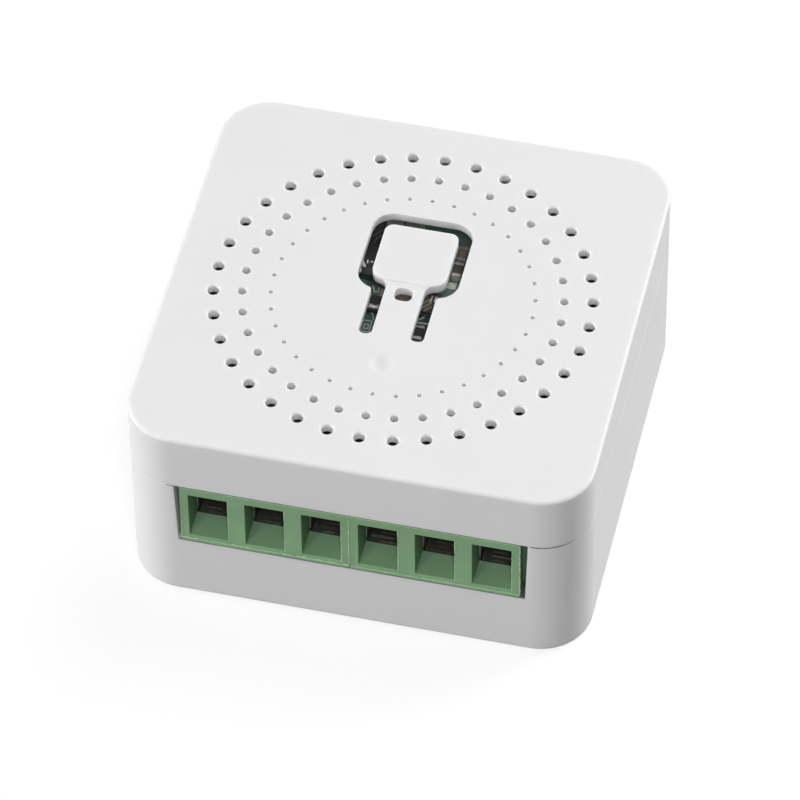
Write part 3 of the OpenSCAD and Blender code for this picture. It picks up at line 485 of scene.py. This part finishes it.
def ribbon(bm, points, widths, height, place, closed=False):
    """A flat strip with mitred bends along the points, in millimetres."""
    line = [Vector(p) for p in points]
    count = len(line)
    if not isinstance(widths, list):
        widths = [widths] * count
    rings = []
    for i, p in enumerate(line):
        before = line[i - 1] if closed or i else None
        after = line[(i + 1) % count] if closed or i < count - 1 else None
        way_in = (p - before if before else after - p).normalized()
        way_out = (after - p if after else p - before).normalized()
        mitre = Vector((-way_in.y - way_out.y, way_in.x + way_out.x)).normalized()
        reach = widths[i] / 2 / max(MITRE_LIMIT, mitre.dot(Vector((-way_in.y, way_in.x))))
        left = p + mitre * reach
        right = p - mitre * reach
        corners = ((left, 0), (left, height), (right, height), (right, 0))
        rings.append([bm.verts.new(place(q.x, q.y, h)) for q, h in corners])
    for i in range(count if closed else count - 1):
        one = rings[i]
        two = rings[(i + 1) % count]
        for k in range(4):
            bm.faces.new((one[k], two[k], two[(k + 1) % 4], one[(k + 1) % 4]))
    if not closed:
        bm.faces.new(rings[0])
        bm.faces.new(rings[-1])


def skin(bm, rings):
    """Joins rings of vertices into a closed skin."""
    count = len(rings[0])
    for one, two in zip(rings, rings[1:]):
        for k in range(count):
            bm.faces.new((one[k], one[(k + 1) % count], two[(k + 1) % count], two[k]))
    bm.faces.new(rings[0])
    bm.faces.new(rings[-1])


def plate(bm, low, high, height, place, edge=PLATE_EDGE_MM):
    """A thin plate with its upper edges broken, between two corners in millimetres."""
    rings = []
    for inset, h in ((0, 0), (0, height - edge), (edge, height)):
        x0 = low[0] + inset
        x1 = high[0] - inset
        y0 = low[1] + inset
        y1 = high[1] - inset
        corners = ((x0, y0), (x1, y0), (x1, y1), (x0, y1))
        rings.append([bm.verts.new(place(u, v, h)) for u, v in corners])
    skin(bm, rings)


def lathe(bm, centre, profile, steps=LATHE_STEPS):
    """A turned form about an upright axis, closed at both ends; the profile is radius and height."""
    x, y = centre
    turns = [2 * math.pi * i / steps for i in range(steps)]
    rings = []
    for r, z in profile:
        rings.append([bm.verts.new((x + r * math.cos(a), y + r * math.sin(a), z)) for a in turns])
    skin(bm, rings)


def prism(bm, profile, x_from, x_to):
    """A bar along X with a profile in Y and Z, in millimetres."""
    rings = [[bm.verts.new((x * MM, y * MM, z * MM)) for y, z in profile] for x in (x_from, x_to)]
    skin(bm, rings)


# Button tongue: one moulding with the cover; the real one bends at its root
NECK_HALF_MM = 1.7
LEG_END_R_MM = 0.5
LEG_END_ANGLE = 225
LEG_END_STEPS = 6
FLARE_R_MM = 1.0
FLARE_Y_MM = 1.69
HEAD_R_MM = 0.8
HEAD_STEPS = 8
ROOT_REACH_MM = 0.212
ROOT_GAP_MM = 0.003
WINDOW_MM = (1.6, 1.5)
WINDOW_R_MM = 0.55
WINDOW_Y_MM = 0.15
WINDOW_STEPS = 6
STEP_START_MM = 1.56
STEP_LENGTH_MM = 0.03
RIM_ROUND_MM = 0.09
RIM_SEGMENTS = 3
RIM_TURN = 1
BEND_ROWS = 14
CUT_MERGE_MM = 0.0001
AT_ROOT_MM = 0.001
TONGUE_SMOOTH_ANGLE = 40

# Presser below the head: its profile in radii, first from its tip, then from the underside of the plate
PRESSER_R_MM = 1.1
PRESSER_TIP = ((0.86, 0), (1, 0.14))
PRESSER_ROOT = ((1, -0.25), (1.07, -0.08), (1.25, 0), (1.25, 0.1))


def tongue_half():
    """Right half of the tongue's outline in millimetres, from its root to the back of the head."""
    head_half = flap_high.x / MM
    head_back = flap_high.y / MM
    root = hinge.y / MM
    across = head_half - NECK_HALF_MM - 2 * FLARE_R_MM
    along = math.sqrt((2 * FLARE_R_MM) ** 2 - across ** 2)
    turn = math.degrees(math.atan2(along, across))
    return (
        arc(NECK_HALF_MM + LEG_END_R_MM, root, LEG_END_R_MM, LEG_END_ANGLE, 180, LEG_END_STEPS)
        + arc(NECK_HALF_MM + FLARE_R_MM, FLARE_Y_MM - along / 2, FLARE_R_MM, 180, turn, HEAD_STEPS)
        + arc(head_half - FLARE_R_MM, FLARE_Y_MM + along / 2, FLARE_R_MM, turn + 180, 360, HEAD_STEPS)[1:]
        + arc(head_half - HEAD_R_MM, head_back - HEAD_R_MM, HEAD_R_MM, 0, 90, HEAD_STEPS)
    )


def window_outline():
    """Outline of the light window in millimetres."""
    half_w = WINDOW_MM[0] / 2 - WINDOW_R_MM
    half_l = WINDOW_MM[1] / 2 - WINDOW_R_MM
    points = []
    for k, (sx, sy) in enumerate(((1, 1), (-1, 1), (-1, -1), (1, -1))):
        start = 90 * k
        points += arc(sx * half_w, WINDOW_Y_MM + sy * half_l, WINDOW_R_MM, start, start + 90, WINDOW_STEPS)
    return points


def cut_across(bm, y, clear=False):
    """Cuts the mesh across at a place in Y, and clears the part in front of the cut if asked to."""
    bmesh.ops.bisect_plane(bm, geom=bm.verts[:] + bm.edges[:] + bm.faces[:], dist=CUT_MERGE_MM * MM,
                           plane_co=(0, y, 0), plane_no=(0, 1, 0), clear_inner=clear)


def tongue_sheet(bm, root_y, bend_end):
    """Upper face of the tongue with its window, cut into rows where it bends and at the head's step."""
    half = tongue_half()
    outline = half + [(-x, y) for x, y in reversed(half)]
    edges = []
    for loop in (outline, window_outline()):
        verts = [bm.verts.new((x * MM, y * MM, case_top)) for x, y in loop]
        edges += [bm.edges.new((verts[i - 1], verts[i])) for i in range(len(verts))]
    bmesh.ops.triangle_fill(bm, use_beauty=True, edges=edges)
    cut_across(bm, root_y, clear=True)
    for i in range(1, BEND_ROWS + 1):
        cut_across(bm, root_y + (bend_end - root_y) * i / BEND_ROWS)
    cut_across(bm, STEP_START_MM * MM)
    cut_across(bm, (STEP_START_MM + STEP_LENGTH_MM) * MM)


def thicken_tongue(bm, root_y, thickness):
    """Gives the tongue its thickness, rounds its upper rims apart from the root, and raises its head."""
    lower = bmesh.ops.extrude_face_region(bm, geom=bm.faces[:])
    moved = [v for v in lower["geom"] if isinstance(v, bmesh.types.BMVert)]
    bmesh.ops.translate(bm, verts=moved, vec=(0, 0, -thickness))
    bmesh.ops.recalc_face_normals(bm, faces=bm.faces[:])
    middle = case_top - thickness / 2
    rims = []
    for edge in bm.edges:
        on_top = all(v.co.z > middle for v in edge.verts)
        at_root = all(v.co.y < root_y + AT_ROOT_MM * MM for v in edge.verts)
        if on_top and not at_root and len(edge.link_faces) == 2 and edge.calc_face_angle() > RIM_TURN:
            rims.append(edge)
    bmesh.ops.bevel(bm, geom=rims, offset=RIM_ROUND_MM * MM, offset_type="OFFSET", segments=RIM_SEGMENTS,
                    profile=0.5, affect="EDGES", clamp_overlap=True)
    rise = flap_high.z - case_top
    for v in bm.verts:
        share = (v.co.y / MM - STEP_START_MM) / STEP_LENGTH_MM
        if v.co.z > middle:
            v.co.z += rise * min(1, max(0, share))


def add_tongue():
    """The whole tongue as one piece between the case and the button."""
    root_y = hinge.y - (ROOT_REACH_MM - ROOT_GAP_MM) * MM
    bend_end = (WINDOW_Y_MM - WINDOW_MM[1]) * MM
    thickness = 2 * (case_top - hinge.z)
    bm = bmesh.new()
    tongue_sheet(bm, root_y, bend_end)
    thicken_tongue(bm, root_y, thickness)
    plunger_low, plunger_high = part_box("switch_plunger")
    r = PRESSER_R_MM * MM
    under = case_top - thickness
    profile = [(share * r, flap_low.z + rise * r) for share, rise in PRESSER_TIP]
    profile += [(share * r, under + rise * r) for share, rise in PRESSER_ROOT]
    lathe(bm, (0, (plunger_low.y + plunger_high.y) / 2), profile)
    tongue = add_piece("button_tongue", bm, None, "case_white", TONGUE_SMOOTH_ANGLE)
    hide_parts("button_flap")
    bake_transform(tongue)


# Circuit board details in millimetres: a stroke is its points and its width, a plate is two corners
INK_MM = 0.04
TRACK_MM = 0.03
COIL_END_MM = 3 * TRACK_MM
COIL_MM = 2 * TRACK_MM
INK_LINES = [
    ([(0.78, 1.18), (1.95, 1.20)], 0.17),
    ([(0.74, 1.12), (0.74, -0.75)], 0.12),
    ([(0.95, 1.48), (1.19, 1.65), (1.54, 2.10)], 0.12),
    ([(-3.80, 4.54), (-3.55, 3.90), (-3.20, 3.94), (-3.25, 4.50)], 0.12),
    ([(-3.88, 1.38), (-3.78, 0.45)], 0.10),
    ([(-3.27, 1.52), (-3.00, 1.15), (-2.85, 0.60)], 0.10),
    ([(2.56, 9.20), (2.56, 10.62), (3.90, 10.62)], 0.14),
    ([(2.60, 8.80), (2.56, 7.68), (2.86, 7.68)], 0.13),
]
INK_FRAMES = [
    ([(-3.75, -0.85), (-2.92, -0.85), (-2.92, 0.45), (-3.75, 0.45)], 0.11),
    ([(-3.50, -0.48), (-3.12, -0.48), (-3.12, 0.02), (-3.50, 0.02)], 0.08),
]
COIL_ENDS = [
    ([(1.53, 3.70), (1.60, 4.46)], 0.15),
    ([(1.88, 3.80), (1.95, 4.46)], 0.15),
]
COIL_STRIPES = [
    ([(0.70, 3.75), (1.21, 4.36)], 0.16),
    ([(0.70, 3.15), (1.46, 4.11)], 0.20),
    ([(0.80, 2.72), (1.66, 3.70)], 0.20),
    ([(1.20, 2.62), (1.77, 3.22)], 0.16),
]
COPPER_PAD = ([(-2.74, 3.45), (-2.92, 4.35)], 0.42)
BACK_PAD = ([(-2.95, 12.40), (-0.90, 12.35)], 0.9)
BACK_TRACK = ([(-0.90, 12.35), (1.50, 12.30)], 0.7)
COIL_PATCH_MM = ((0.5, 2.3), (2.4, 4.46))
# Near-black patch on the board seen through the right leg: painted shadow
PAINTED_SHADOW_PATCH_MM = ((0.5, -1.4), (2.3, 1.0))
# Patch of bare laminate seen through the light window, coloured lighter as painted light for the shade it lies in
LAMINATE_MM = ((-1.85, 2.9), (0.5, 4.46))

# Small parts in the legs of the slot: two corners and a height
SMALL_PARTS_MM = (
    ((0.72, 1.95), (1.95, 2.35), 0.3),
    ((-3.80, 2.05), (-2.45, 3.15), 0.47),
    ((-3.80, 1.42), (-2.45, 1.66), 0.47),
)
SMALL_PART_EDGE_MM = 0.06
SOLDER_BAND_MM = ((-3.62, 1.64), (-2.60, 2.07))
SOLDER_BAND_HEIGHT_MM = 0.5
SOLDER_BAND_EDGE_MM = 0.16

# Rows of tracks: the first track of each row, the step to the next, and how much farther back each one ends
FRONT_TRACK_MM = ((-4.6, -9), (-4.6, -3.4), (-2.2, -1.0), (-2.2, 1.2))
SIDE_TRACK_MM = ((2.3, 4.9), (2.3, 5.5), (3.6, 6.8), (3.6, 12))
TRACK_WIDTH_MM = 0.22
TRACK_COUNT = 9
TRACK_STEP_MM = 0.62
TRACK_STAGGER = 0.5

# Copper pour: its height, its distance from the board's edge, and the bare middle; its lighter mask is partly
# painted light where the cover shades the board
POUR_MM = 0.015
POUR_INSET_MM = 1.2
POUR_LOW_MM = (-4.4, -2.4)
POUR_HIGH_MM = (2.4, 5.2)


def add_board_ink():
    """Plain strokes and frames of ink on the main board."""
    bm = bmesh.new()
    place = flat_on(board_top)
    for points, width in INK_LINES:
        ribbon(bm, points, width, INK_MM, place)
    for points, width in INK_FRAMES:
        ribbon(bm, points, width, INK_MM, place, closed=True)
    add_piece("board_ink_lines", bm, "case", "board_ink")


def add_strokes(name, strokes, height, level, finish_name):
    """A piece of flat strokes on a board."""
    bm = bmesh.new()
    for points, width in strokes:
        ribbon(bm, points, width, height, flat_on(level))
    add_piece(name, bm, "case", finish_name)


def add_plates(name, plates, edge, finish_name):
    """A piece of plates on the main board; each plate is two corners and a height."""
    bm = bmesh.new()
    for low, high, height in plates:
        plate(bm, low, high, height, flat_on(board_top), edge)
    add_piece(name, bm, "case", finish_name)


def track_rows():
    """Strokes of the rows of tracks on the main board."""
    strokes = []
    for i in range(TRACK_COUNT):
        step = i * TRACK_STEP_MM
        strokes.append(([(x + step, y) for x, y in FRONT_TRACK_MM], TRACK_WIDTH_MM))
        side = [(x + step, y) for x, y in SIDE_TRACK_MM]
        x, y = side.pop()
        strokes.append((side + [(x, y + TRACK_STAGGER * step)], TRACK_WIDTH_MM))
    return strokes


def add_board_details():
    """Printed coil, bare patches, small parts, solder and tracks that show in the slot."""
    # the coil ends, solder band and radio marks take the near-white tin with painted glints
    add_strokes("board_coil_ends", COIL_ENDS, COIL_END_MM, board_top, "tin_and_painted_glint")
    add_strokes("board_coil_stripes", COIL_STRIPES + [COPPER_PAD, BACK_PAD], COIL_MM, board_top,
                "coil_print")
    for name, corners, finish_name, slot in (
            ("board_coil_patch", COIL_PATCH_MM, "coil_patch", "switch_brown"),
            ("board_painted_shadow_patch", PAINTED_SHADOW_PATCH_MM, "radio_black", "radio_black"),
            ("board_laminate_painted_light", LAMINATE_MM, "laminate", "switch_brown")):
        add_plates(name, [(*corners, TRACK_MM)], TRACK_MM / 2, finish_name)
    add_plates("board_small_parts", SMALL_PARTS_MM, SMALL_PART_EDGE_MM, "black_plastic")
    add_plates("board_solder_band", [(*SOLDER_BAND_MM, SOLDER_BAND_HEIGHT_MM)], SOLDER_BAND_EDGE_MM,
               "tin_and_painted_glint")
    add_strokes("board_tracks", track_rows() + [BACK_TRACK], TRACK_MM, board_top,
                "board_track")


def add_copper_pour_and_painted_light():
    """Copper under the solder mask, round the bare middle of the board; its lighter green is partly painted light
    where the cover shades the board.
    """
    low, high = [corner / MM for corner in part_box("main_board")]
    x0 = low.x + POUR_INSET_MM
    x1 = high.x - POUR_INSET_MM
    y0 = low.y + POUR_INSET_MM
    y1 = high.y - POUR_INSET_MM
    bare_x0, bare_y0 = POUR_LOW_MM
    bare_x1, bare_y1 = POUR_HIGH_MM
    corners = (
        ((x0, y0), (x1, bare_y0)),
        ((x0, bare_y1), (x1, y1)),
        ((x0, bare_y0), (bare_x0, bare_y1)),
        ((bare_x1, bare_y0), (x1, bare_y1)),
    )
    plates = [(*pair, POUR_MM) for pair in corners]
    add_plates("board_copper_pour_and_painted_light", plates, POUR_MM / 2, "board_pour_and_painted_light")


# Solder joints: soldered nodes, how leads are told apart, and a profile of reach beyond the lead and height
SOLDERED = ("relay_pins", "contact_bars", "capacitors", "inductor", "varistor", "fuse_resistor")
LEAD_ABOVE_MM = 0.5
LEAD_APART_MM = 1.5
SOLDER_PROFILE_MM = ((0.55, 0), (0.50, 0.06), (0.24, 0.20), (0.10, 0.42), (0.04, 0.66))
SOLDER_STEPS = 18


def lead_tips(name):
    """Middles and half widths of a node's leads where they stand out of the board."""
    groups = []
    for v in nodes[name].data.vertices:
        if v.co.z < board_top + LEAD_ABOVE_MM * MM:
            continue
        near = [g for g in groups if (g[0] - v.co).xy.length < LEAD_APART_MM * MM]
        if near:
            near[0].append(v.co.copy())
        else:
            groups.append([v.co.copy()])
    tips = []
    for group in groups:
        xs = [p.x for p in group]
        ys = [p.y for p in group]
        tips.append(((min(xs) + max(xs)) / 2, (min(ys) + max(ys)) / 2, (max(xs) - min(xs)) / 2))
    return tips


def add_solder():
    """Solder joints round the leads that come through the main board."""
    bm = bmesh.new()
    for name in SOLDERED:
        for x, y, half in lead_tips(name):
            profile = [(half + reach * MM, board_top + rise * MM) for reach, rise in SOLDER_PROFILE_MM]
            lathe(bm, (x, y), profile, SOLDER_STEPS)
    add_piece("solder_joints", bm, "case", "tinned_metal")


# Tabs of the tactile switch: the side and the reach of each pad, then the sizes of a pad and of a tab
SWITCH_PADS_MM = ((1, 1.4), (-1, 0.5))
PAD_START_MM = 0.05
PAD_HALF_MM = 0.36
PAD_HEIGHT_MM = 0.12
PAD_EDGE_MM = 0.05
TAB_REACH_MM = 0.45
TAB_HALF_MM = 0.28
TAB_HEIGHT_MM = 0.55
TAB_EDGE_MM = 0.22


def add_switch_tabs():
    """Bent tabs of the tactile switch with their solder pads."""
    bm = bmesh.new()
    place = flat_on(board_top)
    middle = (switch_low.y + switch_high.y) / 2 / MM
    for sx, reach in SWITCH_PADS_MM:
        side = (switch_high.x if sx > 0 else switch_low.x) / MM
        x0, x1 = sorted((side + sx * PAD_START_MM, side + sx * reach))
        plate(bm, (x0, middle - PAD_HALF_MM), (x1, middle + PAD_HALF_MM), PAD_HEIGHT_MM, place, PAD_EDGE_MM)
        x0, x1 = sorted((side, side + sx * TAB_REACH_MM))
        plate(bm, (x0, middle - TAB_HALF_MM), (x1, middle + TAB_HALF_MM), TAB_HEIGHT_MM, place, TAB_EDGE_MM)
    add_piece("switch_tabs", bm, "case", "tinned_metal")


# Radio board details in millimetres
RADIO_MARKS = [
    ([(-5.28, 6.62), (-4.86, 5.88)], 0.24),
    ([(-4.78, 6.74), (-4.72, 6.36)], 0.12),
    ([(-4.48, 6.62), (-4.28, 6.58)], 0.16),
    ([(-5.12, 5.60), (-5.10, 4.95)], 0.12),
]
RADIO_FAINT = [
    ([(-5.14, 10.23), (-4.42, 11.15)], 0.10),
    ([(-5.06, 9.50), (-4.37, 10.53)], 0.10),
    ([(-4.71, 8.82), (-4.59, 9.48), (-4.20, 9.90)], 0.10),
]
RADIO_EDGE = ([(-4.20, 11.60), (-2.50, 11.90)], 0.9)
RADIO_MARGIN_MM = 0.1
RADIO_PAD_STEP_MM = 1.27
RADIO_PAD_MM = 0.8
RADIO_PAD_HEIGHT_MM = 0.05


def add_radio_details():
    """Marks, tracks, copper edge and solder pads on the radio board."""
    level = radio_high.z
    first = radio_low.y / MM + RADIO_MARGIN_MM
    last = radio_high.x / MM - RADIO_MARGIN_MM
    marks = [([(x, max(y, first)) for x, y in points], width) for points, width in RADIO_MARKS]
    add_strokes("radio_marks", marks, INK_MM, level, "tin_and_painted_glint")
    add_strokes("radio_tracks", RADIO_FAINT, TRACK_MM, level, "radio_line")
    points, width = RADIO_EDGE
    edge = [([(min(x, last), y) for x, y in points], width)]
    add_strokes("radio_copper_edge", edge, TRACK_MM, level, "coil_print")
    bm = bmesh.new()
    count = int((radio_high.y - radio_low.y) / MM / RADIO_PAD_STEP_MM)
    half = RADIO_PAD_MM / 2
    for i in range(count):
        x = radio_low.x / MM
        y = radio_low.y / MM + (i + 0.5) * RADIO_PAD_STEP_MM
        plate(bm, (x, y - half), (x + RADIO_PAD_MM, y + half), RADIO_PAD_HEIGHT_MM, flat_on(level))
    # the pads take the brass finish that is darkened as painted shade
    add_piece("radio_pads", bm, "case", "contact_brass")


# Teeth of the contact bars: the shares are ranges for draws of height, start and end
WIRE_FLOOR_MM = 8.95
TOOTH_SEED = 3
TOOTH_HEIGHT_MM = 0.09
TOOTH_HALF_MM = 0.2
TOOTH_TOP_HALF_MM = 0.03
TOOTH_STEP_MM = 0.5
TOOTH_COUNT = 6
TOOTH_HEIGHT_SHARE = (0.1, 1)
TOOTH_START_SHARE = (0.1, 0.9)
TOOTH_END_SHARE = (0.5, 1)
BAR_HALF_MM = 1.25
BAR_FRONT_MM = -18.65


def add_bar_teeth():
    """Worn grip ridges across each contact bar."""
    draw = random.Random(TOOTH_SEED)
    bm = bmesh.new()
    low = WIRE_FLOOR_MM
    for pole in pole_x:
        x = pole / MM
        for i in range(TOOTH_COUNT):
            y = BAR_FRONT_MM + (i + 0.5) * TOOTH_STEP_MM
            high = low + TOOTH_HEIGHT_MM * draw.uniform(*TOOTH_HEIGHT_SHARE)
            start = x - BAR_HALF_MM * draw.uniform(*TOOTH_START_SHARE)
            end = x + BAR_HALF_MM * draw.uniform(*TOOTH_END_SHARE)
            profile = ((y - TOOTH_HALF_MM, low), (y - TOOTH_TOP_HALF_MM, high),
                       (y + TOOTH_TOP_HALF_MM, high), (y + TOOTH_HALF_MM, low))
            prism(bm, profile, start, end)
    add_piece("contact_teeth", bm, "case", "teeth_painted_shade")


# Lower edges of the housings: profile of the bead in Y and Z
NOSE_LOW_MM = 7.1
BEAD_MM = (
    (-20.29, 7.14), (-20.35, 7.08), (-20.38, 7.00), (-20.37, 6.93),
    (-20.31, 6.88), (-19.9, 6.88), (-19.9, 7.14),
)
BEAD_INSET_MM = 0.05

# Rib at the right end of the row, and a near-black block below it that paints the shade in the corner; the block's
# profile runs from its front and its lower side
RIB_WIDTH_MM = 0.55
RIB_DEPTH_MM = 1.2
RIB_SETBACK_MM = 1.1
RIB_BREAK_MM = 0.1
RIB_SINK_MM = 0.1
RIB_LOW_MM = NOSE_LOW_MM + 0.5
RIB_BELOW_TOP_MM = 0.1
SHADE_BLOCK_LOW_MM = 6.87
SHADE_BLOCK_SETBACK_MM = 0.05
SHADE_BLOCK_GAP_MM = 0.02
SHADE_BLOCK_PROFILE_MM = ((0, 0), (1.2, 0), (1.2, 0.75), (1.0, 0.75), (0, 0.12))


def add_nose_edges():
    """Rounded lower edge of each housing, the rib at the right end of the row, and a near-black block of painted
    shade in the corner below it.
    """
    for name, low, high in (("left", left_low, left_high), ("right", right_low, right_high)):
        bm = bmesh.new()
        prism(bm, BEAD_MM, low.x / MM + BEAD_INSET_MM, high.x / MM - BEAD_INSET_MM)
        add_piece(f"terminal_bead_{name}", bm, "case", "terminal_green")
    end = right_high.x / MM
    front = right_low.y / MM + RIB_SETBACK_MM
    back = front + RIB_DEPTH_MM
    low = RIB_LOW_MM
    high = right_high.z / MM - RIB_BELOW_TOP_MM
    bm = bmesh.new()
    profile = ((front, low + RIB_BREAK_MM), (front + RIB_BREAK_MM, low), (back, low),
               (back, high), (front + RIB_BREAK_MM, high), (front, high - RIB_BREAK_MM))
    prism(bm, profile, end - RIB_SINK_MM, end + RIB_WIDTH_MM)
    add_piece("terminal_end_rib", bm, "case", "terminal_green")
    # near-black block that stands for the shade in the corner below the rib
    front = right_low.y / MM + SHADE_BLOCK_SETBACK_MM
    bm = bmesh.new()
    profile = [(front + y, SHADE_BLOCK_LOW_MM + z) for y, z in SHADE_BLOCK_PROFILE_MM]
    prism(bm, profile, end + SHADE_BLOCK_GAP_MM, end + RIB_WIDTH_MM)
    add_piece("terminal_end_painted_shade", bm, "case", "corner_painted_shade")


# Moulding flash on the terminal front, lighter than the housing as a painted highlight, and painted edge
# highlights beside the mouths
FLASH_SEED = 5
FLASH_STEP_MM = 0.3
FLASH_HEIGHT_MM = 0.03
FLASH_WIDTH_SHARE = (0.2, 1.4)
MOUTH_HALF_MM = 1.73
MOUTH_LOW_MM = 7.55
MOUTH_HIGH_MM = 12.85
MOUTH_HIGHLIGHT_MM = 0.04
MOUTH_HIGHLIGHT_WIDTH_MM = 0.07
MOUTH_HIGHLIGHT_WANDER_MM = 0.01


def flash_line(bm, start, end, width, wander, draw):
    """An uneven light thread between two points of the terminal front, for moulding flash and for painted edge
    highlights.
    """
    a = Vector(start)
    b = Vector(end)
    count = max(2, int((b - a).length / FLASH_STEP_MM))
    across = Vector((-(b - a).y, (b - a).x)).normalized()
    points = []
    widths = []
    for i in range(count + 1):
        points.append(a.lerp(b, i / count) + across * draw.uniform(-wander, wander))
        widths.append(width * draw.uniform(*FLASH_WIDTH_SHARE))
    ribbon(bm, points, widths, FLASH_HEIGHT_MM, flat_front(left_low.y))


def add_flash_and_painted_highlights():
    """Threads of flash along the edges of the housings, and painted highlights along the right edges of the
    mouths.

    A thread is its start, its end, its width and how far it wanders, in millimetres.
    """
    draw = random.Random(FLASH_SEED)
    low = NOSE_LOW_MM
    high = left_high.z / MM
    x0 = left_low.x / MM
    x1 = left_high.x / MM
    x2 = right_high.x / MM
    threads = [
        ((x0 + 0.1, low + 0.07), (x1 - 0.1, low + 0.07), 0.15, 0.07),
        ((x1 + 0.1, low + 0.06), (x2 - 0.1, low + 0.06), 0.08, 0.02),
        ((x0 + 0.1, high - 0.04), (x2 - 0.1, high - 0.04), 0.05, 0.01),
        ((x0 + 0.06, low + 0.1), (x0 + 0.06, low + 2.2), 0.09, 0.03),
        ((x1 - 0.05, low + 0.1), (x1 - 0.05, high - 0.5), 0.12, 0.03),
        ((x2 - 0.06, low + 0.1), (x2 - 0.06, high - 0.2), 0.10, 0.04),
    ]
    # painted highlight along the right edge of each mouth
    for x in pole_x:
        edge = x / MM + MOUTH_HALF_MM + MOUTH_HIGHLIGHT_MM
        threads.append(((edge, MOUTH_LOW_MM), (edge, MOUTH_HIGH_MM), MOUTH_HIGHLIGHT_WIDTH_MM,
                        MOUTH_HIGHLIGHT_WANDER_MM))
    bm = bmesh.new()
    for thread in threads:
        flash_line(bm, *thread, draw)
    add_piece("flash_and_painted_highlight", bm, "case", "flash_and_painted_highlight")


# Painted shade in the seams: dark strips in the open parting line round the right front corner and its dash at the
# left, and a painted shadow on the sill
SEAM_MARGIN_MM = 0.01
PARTING_HEIGHT_MM = 0.07
PARTING_WIDTH_MM = 0.16
CORNER_R_MM = 4.6
PARTING_START_MM = 16.0
PARTING_TURN = 62
PARTING_STEPS = 20
PARTING_FULL_STEPS = 12
PARTING_TAPER = 0.1
DASH_MM = (-15.6, -16.2)
DASH_END_WIDTH_MM = 0.03
SILL_MM = 6.85
SILL_WIDTH_MM = 0.2
SILL_HEIGHT_MM = 0.02
SILL_LEFT_MM = 0.2
SILL_RIGHT_MM = 0.5


def add_painted_seam_shade():
    """Dark strips of painted shade in the open part of the seam between the shells, and a painted shadow line
    under the terminals.
    """
    half = cad_box[1].x / MM
    place = flat_on(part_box("top_cover")[0].z)
    centre = half - CORNER_R_MM
    inset = PARTING_WIDTH_MM / 2 + SEAM_MARGIN_MM
    bend = arc(centre, -centre, CORNER_R_MM - inset, -90, -90 + PARTING_TURN, PARTING_STEPS)
    path = [(PARTING_START_MM, inset - half)] + bend
    widths = [PARTING_WIDTH_MM] * PARTING_FULL_STEPS
    widths += [PARTING_WIDTH_MM * (1 - PARTING_TAPER * i) for i in range(len(path) - PARTING_FULL_STEPS)]
    bm = bmesh.new()
    ribbon(bm, path, widths, PARTING_HEIGHT_MM, place)
    ribbon(bm, [(x, inset - half) for x in DASH_MM], [PARTING_WIDTH_MM, DASH_END_WIDTH_MM],
           PARTING_HEIGHT_MM, place)
    add_piece("parting_painted_shade", bm, "case", "parting_painted_shade")
    sill_y = SILL_WIDTH_MM / 2 + SEAM_MARGIN_MM - half
    sill = [(left_low.x / MM - SILL_LEFT_MM, sill_y), (right_high.x / MM + SILL_RIGHT_MM, sill_y)]
    add_strokes("terminal_shadow_gap", [(sill, SILL_WIDTH_MM)], SILL_HEIGHT_MM, SILL_MM * MM,
                "sill_painted_shadow")


bpy.context.scene.view_settings.view_transform = "Standard"
add_camera()
add_world()
add_floor()
for lamp_name, lamp in LAMPS.items():
    add_lamp(lamp_name, *lamp)
dress_nodes()
round_edges("terminal_block_left")
round_edges("terminal_block_right")
add_tongue()
add_board_ink()
add_board_details()
add_copper_pour_and_painted_light()
add_solder()
add_switch_tabs()
add_radio_details()
add_bar_teeth()
add_nose_edges()
add_flash_and_painted_highlights()
add_painted_seam_shade()
